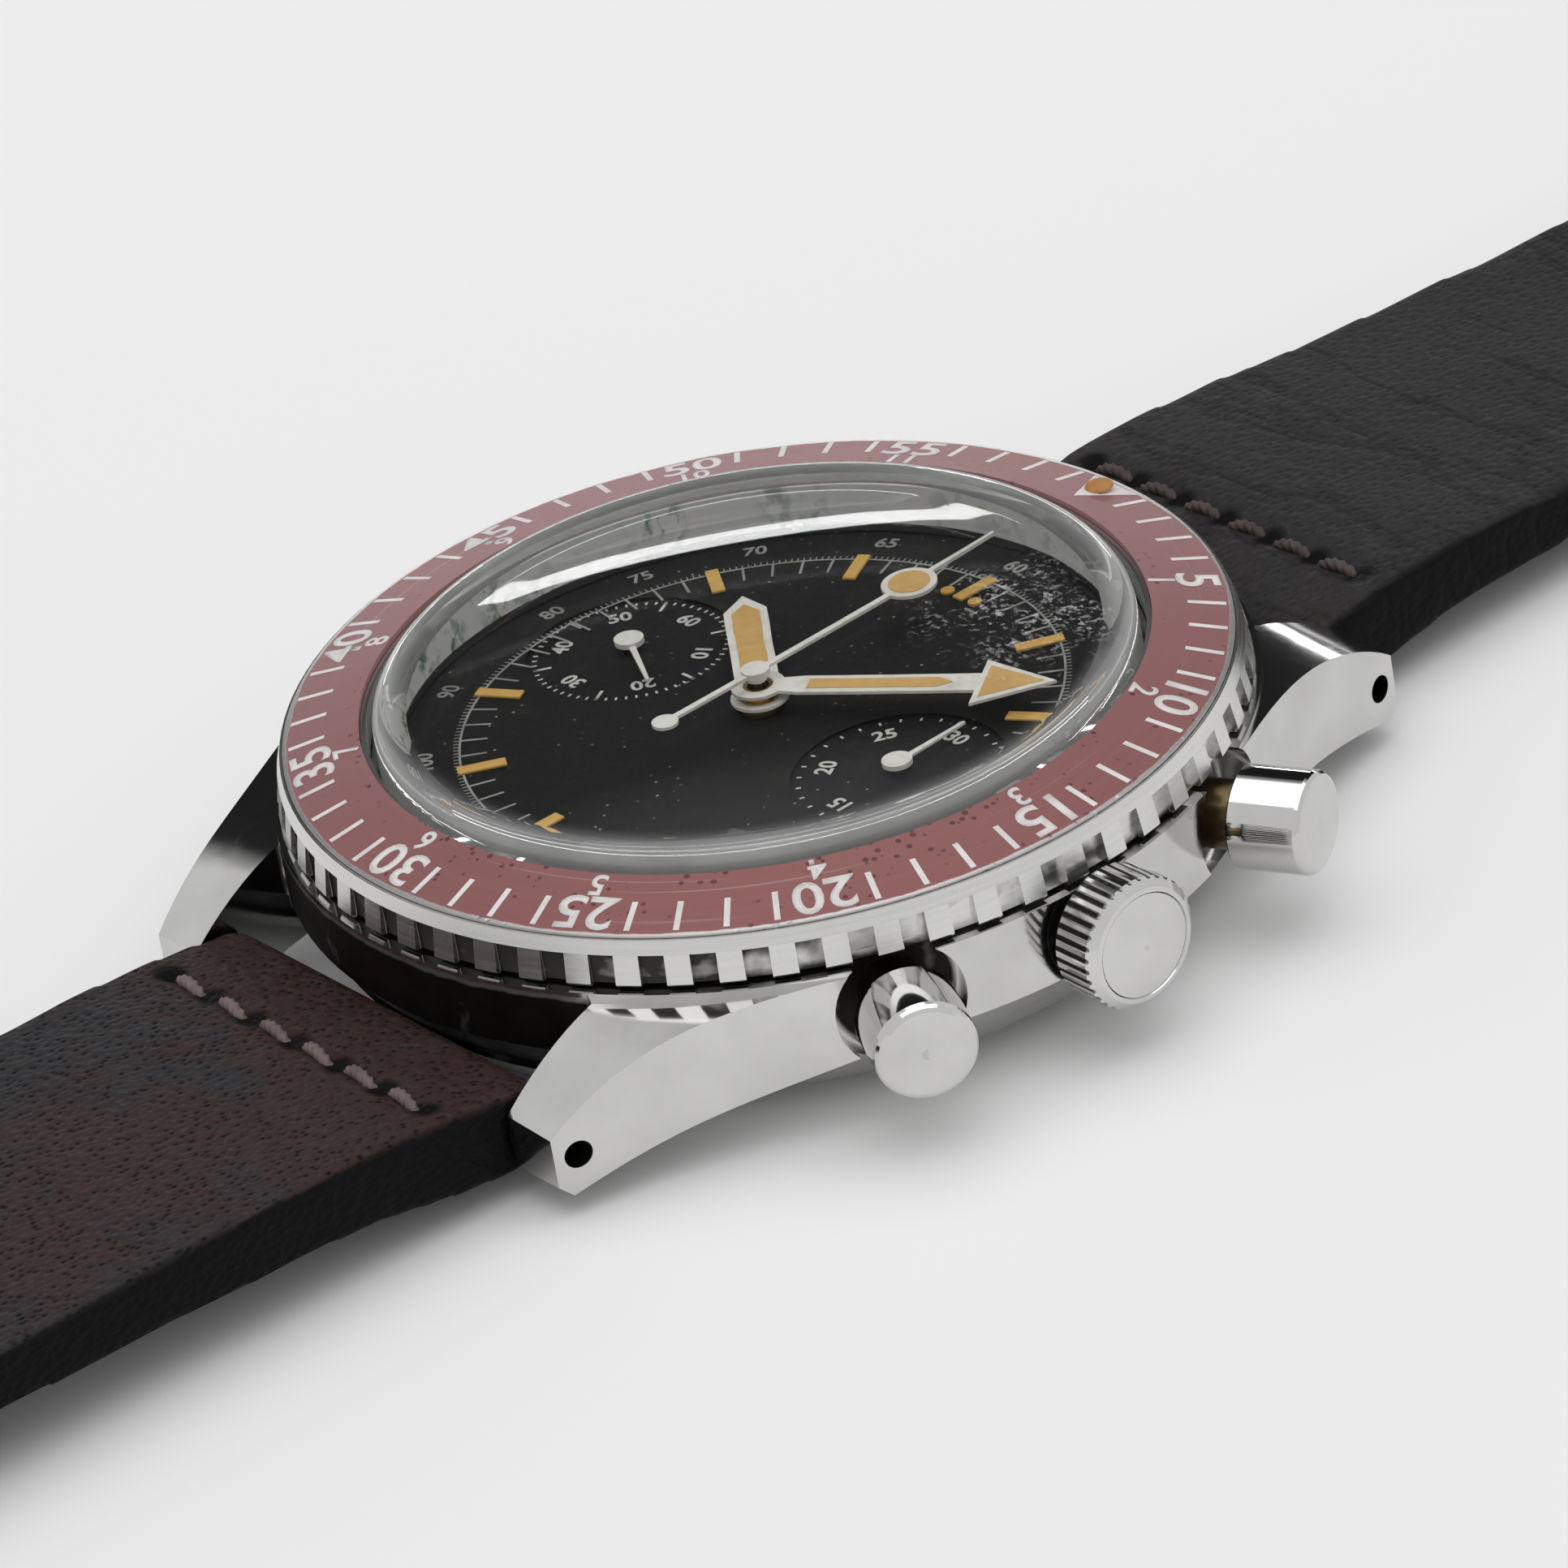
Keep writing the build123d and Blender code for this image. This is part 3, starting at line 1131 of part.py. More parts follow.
def lever(side, reach, reach_from_tab):
    """A chronograph lever: its post, its arms and the tab that the pusher meets."""
    low, high = LEVER_Z
    pivot = (LEVER_PIVOT_X, side * LEVER_PIVOT_Y)
    tab_r = PUSHER_TIP - LEVER_TAB_GAP - LEVER_TAB_T / 2
    tab = towards(tab_r, side * PUSHER_ANGLE)
    start = tab if reach_from_tab else pivot
    arms = strip(pivot, tab, LEVER_W, low, high) + strip(start, reach, LEVER_W * 0.8, low, high)
    arms = arms + disc(2 * LEVER_POST_R, low, high, *pivot)
    tab_top = STEM_Z + PUSHER_STEM_R
    block = Pos(tab_r, 0, (low + tab_top) / 2) * Box(LEVER_TAB_T, 1.2, tab_top - low)
    return arms + Rot(0, 0, side * PUSHER_ANGLE) * block + disc(LEVER_POST_R, low, BRIDGE_Z[1], *pivot)


def operating_lever():
    """The lever by which the start pusher turns the column wheel."""
    return lever(1, (11.3, 7.3), True)


def reset_hammer():
    """The hammer by which the other pusher sends both recorders to zero."""
    return lever(-1, (6.2, -5.0), False)


# ================================================= spring bars

BAR_PIN_END = LUG_TIP_X - BAR_PIN_SET
BAR_PIN_START = BAR_PIN_END - BAR_PIN_LENGTH


def spring_bar(side):
    """A spring bar: the tube with its fixed pin in the far lug."""
    tube = cross_bar(BAR_TUBE_R, -BAR_TUBE_HALF, BAR_TUBE_HALF, side * BAR_Y, BAR_Z)
    bore_end = BAR_PIN_START - BAR_PIN_TRAVEL - 0.1
    tube = tube - cross_bar(BAR_PIN_R + RUN, bore_end, BAR_TUBE_HALF + 1, side * BAR_Y, BAR_Z)
    return tube + cross_bar(BAR_PIN_R, -BAR_PIN_END, -BAR_TUBE_HALF, side * BAR_Y, BAR_Z)


def spring_bar_pin(side):
    """The sprung pin of a spring bar, in the lug on the crown side."""
    return cross_bar(BAR_PIN_R, BAR_PIN_START, BAR_PIN_END, side * BAR_Y, BAR_Z)


# ================================================= strap

def strap_plan(end_y, tip):
    """Outline of a strap half seen from above, as a tall prism."""
    half = STRAP_W / 2
    end_half = STRAP_END_W / 2
    points = [(-half, 0), (half, 0), (half, BAR_Y + 3), (end_half, STRAP_TAPER_Y), (end_half, end_y - tip)]
    if tip > 0:
        points += [(end_half * 0.62, end_y - tip * 0.3), (0, end_y), (-end_half * 0.62, end_y - tip * 0.3)]
    points += [(-end_half, end_y - tip), (-end_half, STRAP_TAPER_Y), (-half, BAR_Y + 3)]
    return plate(points, -5, 15)


def strap_side(top_points, low_points):
    """Side outline of a strap half, extruded across its width."""
    top = Spline(*[(0, y, z) for y, z in top_points])
    low = Spline(*[(0, y, z) for y, z in low_points])
    first = Line((0, *low_points[0]), (0, *top_points[0]))
    last = Line((0, *top_points[-1]), (0, *low_points[-1]))
    outline = make_face(Wire([*first.edges(), *top.edges(), *last.edges(), *low.edges()]))
    return extrude(outline, STRAP_W, both=True)


def strap_loop():
    """The folded end of a strap half round its spring bar."""
    return cross_bar(LOOP_R, -STRAP_W / 2, STRAP_W / 2, BAR_Y, BAR_Z)


def bar_bore():
    """The bore of the folded end."""
    return cross_bar(BAR_TUBE_R + LOOP_CLEAR, -STRAP_W, STRAP_W, BAR_Y, BAR_Z)


def past_bar(points):
    """Turn (distance past the spring bar, height) points into the case's frame."""
    return [(BAR_Y + reach, height) for reach, height in points]


def strap_12():
    """The short strap half, which ends in the loop of the buckle."""
    rest = SHORT_REST
    fold_z = rest + STRAP_T / 2
    top = past_bar([(0, BAR_Z + LOOP_R), (4.9, 4.9), (11.9, 4.5), (22.9, 3.7)])
    low = past_bar([(0, BAR_Z - LOOP_R), (3.1, 1.35), (7.4, 1.95), (11.9, 2.0), (22.9, 1.35)])
    body = strap_side(top + [(STRAP_TAPER_Y, rest + STRAP_T)], low + [(STRAP_TAPER_Y, rest)])
    body = body + Pos(0, (STRAP_TAPER_Y + SHORT_END) / 2, fold_z) * Box(
        STRAP_W, SHORT_END - STRAP_TAPER_Y, STRAP_T
    )
    body = body & strap_plan(SHORT_END, 0)
    fold = cross_bar(fold_z, -STRAP_END_W / 2, STRAP_END_W / 2, SHORT_END, fold_z)
    body = body + strap_loop() + fold
    body = body - cross_bar(BUCKLE_BAR_R + LOOP_CLEAR, -STRAP_W, STRAP_W, SHORT_END, fold_z)
    slot = Pos(0, SHORT_END, fold_z) * Box(TONGUE_W + 0.8, 7.5, 3 * STRAP_T)
    return body - slot - bar_bore()


def strap_6():
    """The long strap half, with its row of holes and a pointed tip."""
    top = past_bar([(0, BAR_Z + LOOP_R), (4.9, 5.0), (9.9, 5.35), (25.9, 5.45), (41, 4.9), (57, 3.3)])
    low = past_bar([
        (0, BAR_Z - LOOP_R), (3.1, 1.35), (7.4, 2.2), (11.9, 2.5), (25.9, 3.1), (41, 2.55), (57, 0.95),
    ])
    body = strap_side(top + [(LONG_FLAT_Y, STRAP_T)], low + [(LONG_FLAT_Y, 0.0)])
    body = body + Pos(0, (LONG_FLAT_Y + LONG_END) / 2, STRAP_T / 2) * Box(
        STRAP_W, LONG_END - LONG_FLAT_Y, STRAP_T
    )
    body = body & strap_plan(LONG_END, LONG_TIP)
    for index in range(HOLES):
        body = body - disc(HOLE_R, -1, 3 * STRAP_T, 0, LONG_END - FIRST_HOLE - index * HOLE_PITCH)
    return (body + strap_loop() - bar_bore()).mirror(Plane.XZ)


def keeper(y):
    """A leather loop round the short strap half, with room for the long one above it."""
    inner_x = STRAP_END_W + 2 * KEEPER_GAP + 0.3
    low = SHORT_REST - KEEPER_GAP
    inner_h = 2 * STRAP_T + 0.5 + KEEPER_GAP
    middle = low + inner_h / 2
    outer = Box(inner_x + 2 * KEEPER_T, KEEPER_W, inner_h + 2 * KEEPER_T)
    return Pos(0, y, middle) * (outer - Box(inner_x, 2 * KEEPER_W, inner_h))


# ================================================= buckle

BUCKLE_Z = SHORT_REST + STRAP_T / 2
BUCKLE_INNER = STRAP_END_W / 2 + BUCKLE_CLEAR
BUCKLE_OUTER = BUCKLE_INNER + BUCKLE_ARM


def buckle_frame():
    """The steel frame of the buckle, hinged on its bar."""
    far = SHORT_END + BUCKLE_LENGTH
    outer = plate([
        (-BUCKLE_OUTER, SHORT_END - 1.1), (BUCKLE_OUTER, SHORT_END - 1.1),
        (BUCKLE_OUTER, far - 2), (BUCKLE_OUTER - 2, far), (2 - BUCKLE_OUTER, far), (-BUCKLE_OUTER, far - 2),
    ], BUCKLE_Z - BUCKLE_T / 2, BUCKLE_Z + BUCKLE_T / 2)
    window = Pos(0, SHORT_END - 2, BUCKLE_Z) * Box(
        2 * BUCKLE_INNER, 2 * (BUCKLE_LENGTH - 0.4), 2 * BUCKLE_T
    )
    front = Pos(0, far - 1.2, BUCKLE_Z / 2) * Box(2 * BUCKLE_INNER - 1, 2.4, BUCKLE_Z)
    frame = outer - window + front
    return frame - cross_bar(BUCKLE_BAR_R + RUN, -BUCKLE_OUTER - 1, BUCKLE_OUTER + 1, SHORT_END, BUCKLE_Z)


def buckle_bar():
    """The bar through the strap's end, the frame and the tongue."""
    half = BUCKLE_OUTER - 0.3
    return cross_bar(BUCKLE_BAR_R, -half, half, SHORT_END, BUCKLE_Z)


def buckle_tongue():
    """The tongue, curled round the bar and resting on the frame."""
    eye = cross_bar(BUCKLE_BAR_R + 0.75, -TONGUE_W / 2, TONGUE_W / 2, SHORT_END, BUCKLE_Z)
    low = BUCKLE_Z + BUCKLE_T / 2 + 0.05
    far = SHORT_END + BUCKLE_LENGTH - 0.4
    blade = Pos(0, (SHORT_END + far) / 2, low + TONGUE_T / 2) * Box(TONGUE_W, far - SHORT_END, TONGUE_T)
    web = Pos(0, SHORT_END + 0.2, (BUCKLE_Z + low) / 2 + 0.3) * Box(TONGUE_W, 1.2, low - BUCKLE_Z + 0.6)
    bore = cross_bar(BUCKLE_BAR_R + RUN, -TONGUE_W, TONGUE_W, SHORT_END, BUCKLE_Z)
    return eye + blade + web - bore


# ================================================= wheel phases, so that every pair meshes

fourth_phase = 0.0
fourth_pinion_phase = 0.0
third_phase = mesh_phase(fourth_pinion_phase, FOURTH_PINION, FOURTH_DIRECTION + 180, THIRD_TEETH)
third_pinion_phase = 0.0
centre_phase = mesh_phase(third_pinion_phase, THIRD_PINION, THIRD_DIRECTION + 180, CENTRE_TEETH)
centre_pinion_phase = 0.0
barrel_phase = mesh_phase(centre_pinion_phase, CENTRE_PINION, BARREL_DIRECTION, BARREL_TEETH)
escape_phase = mesh_phase(fourth_phase, FOURTH_TEETH, ESCAPE_DIRECTION, ESCAPE_PINION)
cannon_phase = 0.0
minute_phase = mesh_phase(cannon_phase, CANNON_TEETH, MINUTE_WHEEL_DIRECTION, MINUTE_TEETH)
minute_pinion_phase = 0.0
hour_phase = mesh_phase(minute_pinion_phase, MINUTE_PINION, MINUTE_WHEEL_DIRECTION + 180, HOUR_TEETH)
CLICK_AT = towards(RATCHET_R + 1.5, 125.0, BARREL_AT)

NODES = {
    "case_middle": case_middle,
    "case_back": case_back,
    "case_back_gasket": case_back_gasket,
    "bezel_ring": bezel_ring,
    "bezel_insert": bezel_insert,
    "bezel_pip": bezel_pip,
    "bezel_spring": bezel_spring,
    "crystal": crystal,
    "tension_ring": tension_ring,
    "crown": crown,
    "crown_gasket": crown_gasket,
    "winding_stem": winding_stem,
    "crown_tube": crown_tube,
    "start_pusher": lambda: pusher(PUSHER_ANGLE),
    "reset_pusher": lambda: pusher(-PUSHER_ANGLE),
    "pusher_tubes": pusher_tubes,
    "pusher_springs": pusher_springs,
    "dial": dial,
    "hour_hand": hour_hand,
    "minute_hand": minute_hand,
    "chronograph_hand": chronograph_hand,
    "small_seconds_hand": lambda: register_hand(-SUBDIAL_X, SECONDS_ANGLE),
    "minute_counter_hand": lambda: register_hand(SUBDIAL_X, COUNTER_ANGLE),
    "main_plate": main_plate,
    "movement_ring": movement_ring,
    "barrel_bridge": barrel_bridge,
    "train_bridge": train_bridge,
    "balance_cock": balance_cock,
    "chronograph_bridge": chronograph_bridge,
    "bridge_screws": bridge_screws,
    "barrel": barrel,
    "mainspring": mainspring,
    "ratchet_wheel": ratchet_wheel,
    "click": click,
    "centre_wheel": centre_wheel,
    "third_wheel": third_wheel,
    "fourth_wheel": fourth_wheel,
    "escape_wheel": escape_wheel,
    "pallet_fork": pallet_fork,
    "balance_wheel": balance_wheel,
    "hairspring": hairspring,
    "cannon_pinion": cannon_pinion,
    "hour_wheel": hour_wheel,
    "minute_wheel": minute_wheel,
    "chronograph_wheel": chronograph_wheel,
    "minute_recorder_wheel": minute_recorder_wheel,
    "column_wheel": column_wheel,
    "operating_lever": operating_lever,
    "reset_hammer": reset_hammer,
    "spring_bar_12": lambda: spring_bar(1),
    "spring_bar_6": lambda: spring_bar(-1),
    "spring_bar_pin_12": lambda: spring_bar_pin(1),
    "spring_bar_pin_6": lambda: spring_bar_pin(-1),
    "strap_12": strap_12,
    "strap_6": strap_6,
    "fixed_keeper": lambda: keeper(FIXED_KEEPER_Y),
    "free_keeper": lambda: keeper(FREE_KEEPER_Y),
    "buckle_frame": buckle_frame,
    "buckle_bar": buckle_bar,
    "buckle_tongue": buckle_tongue,
}

os.makedirs("parts", exist_ok=True)
for node, make in NODES.items():
    export_step(make(), f"parts/{node}.step")
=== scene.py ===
import json
from math import atan2, cos, exp, hypot, pi, radians, sin

import bpy
from mathutils import Matrix, Vector, noise


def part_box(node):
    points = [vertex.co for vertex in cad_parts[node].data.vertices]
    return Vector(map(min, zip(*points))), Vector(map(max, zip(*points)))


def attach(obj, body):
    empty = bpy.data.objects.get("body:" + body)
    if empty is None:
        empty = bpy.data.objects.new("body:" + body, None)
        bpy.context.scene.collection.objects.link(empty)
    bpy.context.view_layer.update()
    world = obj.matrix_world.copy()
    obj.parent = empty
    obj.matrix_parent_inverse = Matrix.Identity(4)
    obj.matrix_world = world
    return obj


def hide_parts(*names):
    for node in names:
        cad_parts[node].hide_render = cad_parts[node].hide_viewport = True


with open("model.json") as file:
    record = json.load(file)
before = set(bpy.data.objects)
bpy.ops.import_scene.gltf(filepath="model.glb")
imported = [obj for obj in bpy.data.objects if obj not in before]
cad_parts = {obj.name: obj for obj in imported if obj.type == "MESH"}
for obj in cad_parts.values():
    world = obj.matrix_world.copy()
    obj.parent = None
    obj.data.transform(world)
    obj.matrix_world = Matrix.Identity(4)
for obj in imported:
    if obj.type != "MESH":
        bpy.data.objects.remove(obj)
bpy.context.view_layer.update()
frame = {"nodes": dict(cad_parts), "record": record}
MM = 0.001
nodes = frame["nodes"]


# ---------------------------------------------------------------- table, light and camera
# The watch lies open on a pale matt table in a pale room, under one broad softbox
# that hangs over it.

CAMERA_AT = Vector((291.74, -204.02, 210.01)) * MM
CAMERA_RIGHT = Vector((0.63689, 0.75583, -0.15193))
CAMERA_UP = Vector((-0.30292, 0.42656, 0.85223))
LENS = 235.3
SENSOR = 36.0

camera_data = bpy.data.cameras.new("camera")
camera_data.lens = LENS
camera_data.sensor_width = SENSOR
camera_data.clip_start = 0.01
camera = bpy.data.objects.new("camera", camera_data)
bpy.context.scene.collection.objects.link(camera)
camera_axes = Matrix((CAMERA_RIGHT, CAMERA_UP, CAMERA_RIGHT.cross(CAMERA_UP))).transposed()
camera.matrix_world = Matrix.Translation(CAMERA_AT) @ camera_axes.to_4x4()
bpy.context.scene.camera = camera

bpy.context.scene.view_settings.view_transform = "Standard"

# Light and finishes alike are worked out from patterns. This class lets a pattern stand
# in an ordinary sum.
class Pattern:
    """One socket of a material's or the room's nodes. Arithmetic on it adds Math nodes."""

    def __init__(self, tree, socket=None):
        self.tree = tree
        self.socket = socket

    def node(self, kind, settings=None, sockets=None, output=0):
        """Add a node: its settings first, then the values or links of its sockets."""
        made = self.tree.nodes.new("ShaderNode" + kind)
        for name, value in (settings or {}).items():
            setattr(made, name, value)
        for name, value in (sockets or {}).items():
            if isinstance(value, Pattern):
                self.tree.links.new(value.socket, made.inputs[name])
            else:
                made.inputs[name].default_value = value
        return Pattern(self.tree, made.outputs[output])

    def maths(self, operation, first, second=0.0, clamp=False):
        return self.node("Math", {"operation": operation, "use_clamp": clamp}, {0: first, 1: second})

    def __add__(self, other):
        return self.maths("ADD", self, other)

    def __radd__(self, other):
        return self.maths("ADD", other, self)

    def __sub__(self, other):
        return self.maths("SUBTRACT", self, other)

    def __rsub__(self, other):
        return self.maths("SUBTRACT", other, self)

    def __mul__(self, other):
        return self.maths("MULTIPLY", self, other)

    def __rmul__(self, other):
        return self.maths("MULTIPLY", other, self)

    def __truediv__(self, other):
        return self.maths("DIVIDE", self, other)

    def __pow__(self, other):
        return self.maths("POWER", self, other)

    def steps(self, low, high):
        """Nought below low, one above high, and a ramp between."""
        return self.node("MapRange", {"clamp": True}, {"Value": self, "From Min": low, "From Max": high})

    def noise(self, scale, detail=3.0, stretch=(1, 1, 1), where=None, roughness=0.55):
        """A noise on the piece's own coordinates, in features per metre."""
        place = where or self.node("TexCoord", output="Object")
        spread = self.node("VectorMath", {"operation": "MULTIPLY"}, {0: place, 1: stretch})
        return self.node("TexNoise", {}, {
            "Vector": spread, "Scale": scale, "Detail": detail, "Roughness": roughness,
        })

    def cells(self, scale, stretch=(1, 1, 1)):
        """The distance from the middle of the nearest of many scattered cells."""
        place = self.node("TexCoord", output="Object")
        spread = self.node("VectorMath", {"operation": "MULTIPLY"}, {0: place, 1: stretch})
        return self.node("TexVoronoi", {"feature": "F1"}, {"Vector": spread, "Scale": scale}, output=0)

    def place(self):
        """The three coordinates of a point on the piece, in metres."""
        place = self.node("TexCoord", output="Object")
        return [self.split(place, axis) for axis in range(3)]

    def split(self, place, axis):
        return place.node("SeparateXYZ", {}, {"Vector": place}, output=axis)

    def blend(self, first, second):
        """A colour between two, by this pattern as the factor."""
        return self.node("Mix", {"data_type": "RGBA"}, {0: self, 6: first, 7: second}, output=2)

    def bump(self, height, strength, normal=None):
        """A normal from a height pattern in metres."""
        sockets = {"Height": height, "Strength": strength, "Distance": 1.0}
        if normal is not None:
            sockets["Normal"] = normal
        return self.node("Bump", {}, sockets)


# The room is pale all round but for a black panel across the table from the camera,
# which keeps the crystal clear and the dial black.
ROOM_LIGHT = 0.74
PANEL_LIGHT = 0.015
PANEL_TOP = (0.68, 0.84)       # sine of the elevation at which the panel ends
PANEL_SIDES = (0.80, 0.88)     # cosine of the turn at which the panel starts
world = bpy.data.worlds.new("studio")
world.use_nodes = True
room = Pattern(world.node_tree)
way = room.node("TexCoord", output="Generated")
panel_way = (-CAMERA_AT.xy.normalized()).to_3d()
towards_panel = room.node("VectorMath", {"operation": "DOT_PRODUCT"}, {0: way, 1: panel_way}, output="Value")
rise = room.split(way, "Z")
turn_cosine = towards_panel / (1.0 - rise * rise) ** 0.5
panel = turn_cosine.steps(*PANEL_SIDES) * (1.0 - rise.steps(*PANEL_TOP))
background = world.node_tree.nodes["Background"]
background.inputs["Color"].default_value = (1.0, 1.0, 1.0, 1.0)
strength = ROOM_LIGHT + panel * (PANEL_LIGHT - ROOM_LIGHT)
world.node_tree.links.new(strength.socket, background.inputs["Strength"])
bpy.context.scene.world = world


def softbox(name, at, aim, size, power):
    """An area light of a given size that points at a place."""
    light_data = bpy.data.lights.new(name, "AREA")
    light_data.shape = "RECTANGLE"
    light_data.size, light_data.size_y = size
    light_data.energy = power
    light = bpy.data.objects.new(name, light_data)
    bpy.context.scene.collection.objects.link(light)
    light.location = at
    light.rotation_euler = (Vector(aim) - Vector(at)).to_track_quat("-Z", "Y").to_euler()


softbox("top_softbox", (0.06, 0.02, 0.7), (0, 0, 0), (0.9, 0.9), 2.3)
softbox("rear_strip", (-0.49, 0.345, 0.085), (0, 0, 0.01), (0.5, 0.045), 0.42)


def deselect_all():
    """Leave nothing selected, so that an operator acts on the new piece alone."""
    if bpy.context.object and bpy.context.object.mode != "OBJECT":
        bpy.ops.object.mode_set(mode="OBJECT")
    bpy.ops.object.select_all(action="DESELECT")


deselect_all()
bpy.ops.mesh.primitive_plane_add(size=3.0, location=(0, 0, 0))
table = bpy.context.object
table.name = "table"
table_paper = bpy.data.materials.new("table_paper")
table_paper.use_nodes = True
table_paper.node_tree.nodes["Principled BSDF"].inputs["Base Color"].default_value = (0.86, 0.86, 0.86, 1.0)
table_paper.node_tree.nodes["Principled BSDF"].inputs["Roughness"].default_value = 0.9
table.data.materials.append(table_paper)


# ---------------------------------------------------------------- case and case back
# Stainless steel, polished by hand. The band and its lugs are one forging; the back
# screws up into it. The band between the lugs is darkened, partly by sweat stains and
# partly as a painted dark reflection of the strap; old dirt sits in the recesses round
# the pushers, and the lug holes are painted black as painted shade.

# near black, used for dirt and, on the case, for painted shade and a painted dark reflection
DIRT_AND_SHADE = (0.011, 0.009, 0.008, 1.0)
STEEL = (0.68, 0.675, 0.665, 1.0)
STRAP_SIDE_X = 10.0 * MM
PUSHER_DIRECTION = radians(25.5)
CROWN_Z = 4.9 * MM
LUG_HOLE_R = 0.55 * MM
RECESS_EDGE = (2.35 * MM, 2.75 * MM)
bar_low, bar_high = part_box("spring_bar_12")
BAR_MIDDLE = (bar_low + bar_high) / 2


def new_material(name):
    """A material with one Principled shader, and the start of its patterns."""
    material = bpy.data.materials.new(name)
    material.use_nodes = True
    return material, material.node_tree.nodes["Principled BSDF"], Pattern(material.node_tree)


def feed(material, shader, **sockets):
    """Set or link the shader's sockets; underscores in a name stand for spaces."""
    for name, value in sockets.items():
        target = shader.inputs[name.replace("_", " ")]
        if isinstance(value, Pattern):
            material.node_tree.links.new(value.socket, target)
        else:
            target.default_value = value


def paint(material, *pieces):
    """Give pieces one material in their first slot."""
    for piece in pieces:
        piece.data.materials.clear()
        piece.data.materials.append(material)


def polished_steel(name, colour, roughness, wear, dirt_and_shade_where=None):
    """Polished steel with hair scratches, soft waves, handling marks, and a near-black mask of dirt and
    painted shade.
    """
    material, shader, at = new_material(name)
    waves = at.noise(70.0, 2.0)
    smudge = at.noise(240.0, 4.0)
    hairs = at.noise(1500.0, 2.0, (1.0, 0.08, 1.0)).steps(0.62, 0.74)
    cross_hairs = at.noise(1900.0, 2.0, (0.08, 1.0, 0.5)).steps(0.64, 0.76)
    marks = hairs + cross_hairs
    dull = tuple(0.84 * channel for channel in colour[:3]) + (1.0,)
    tint = smudge.steps(0.35, 0.75).blend(colour, dull)
    height = waves * (wear * 1.2e-5) - marks * (wear * 4.0e-7)
    gloss = roughness + smudge * (0.05 * wear) + marks * (0.06 * wear)
    metal = 1.0
    # the mask paints a near-black colour: dirt, and on the case also painted shade in the lug holes and a
    # painted dark reflection between the lugs
    if dirt_and_shade_where is not None:
        grain = at.noise(900.0, 5.0)
        streaks = at.noise(330.0, 4.0, (1.0, 1.0, 0.25))
        dirt = (dirt_and_shade_where(at) * (0.4 + streaks * 1.35) - grain * 0.45).steps(0.10, 0.62)
        tint = dirt.blend(tint, DIRT_AND_SHADE)
        gloss = gloss + dirt * (0.12 + grain * 0.4)
        metal = 1.0 - dirt * 0.3
        height = height + dirt * grain * 2.0e-5
    feed(
        material, shader,
        Base_Color=tint,
        Metallic=metal,
        Roughness=gloss,
        Normal=at.bump(height, 1.0),
    )
    return material


def case_dirt(at):
    """One between the lugs (sweat stains and a painted dark reflection of the strap), in the pusher recesses
    (dirt) and in the lug holes (painted shade), nought elsewhere.
    """
    x, y, z = at.place()
    off_x = at.maths("ABSOLUTE", x)
    off_y = at.maths("ABSOLUTE", y)
    # between the lugs below the bezel: partly sweat stains, partly a painted dark reflection of the strap
    between = (1.0 - off_x.steps(STRAP_SIDE_X - 0.2 * MM, STRAP_SIDE_X)) * off_y.steps(11.0 * MM, 14.0 * MM)
    below = 1.0 - z.steps(6.4 * MM, 7.0 * MM)
    across = off_y * cos(PUSHER_DIRECTION) - x * sin(PUSHER_DIRECTION)
    off_axis = (across ** 2.0 + (z - CROWN_Z) ** 2.0) ** 0.5
    recess = (1.0 - off_axis.steps(*RECESS_EDGE)) * x.steps(14.0 * MM, 15.0 * MM)
    # the lug holes are painted black: painted shade inside them
    off_hole = ((off_y - BAR_MIDDLE.y) ** 2.0 + (z - BAR_MIDDLE.z) ** 2.0) ** 0.5
    hole = 1.0 - off_hole.steps(LUG_HOLE_R + 0.01 * MM, LUG_HOLE_R + 0.05 * MM)
    return between * below * 0.9 + recess * 0.8 + hole * 1.2


case_steel = polished_steel("case_steel", STEEL, 0.09, 1.0, case_dirt)
paint(case_steel, nodes["case_middle"])
back_steel = polished_steel("case_back_steel", STEEL, 0.16, 1.6)
paint(back_steel, nodes["case_back"])


# ---------------------------------------------------------------- bezel ring
# A steel ring with sixty milled notches, brushed round its edge. The wire below it
# lets it turn on the case. Its notches hold years of dark grime.

NOTCH_FLOOR_R = 19.44 * MM
NOTCH_TOP_Z = 8.5 * MM


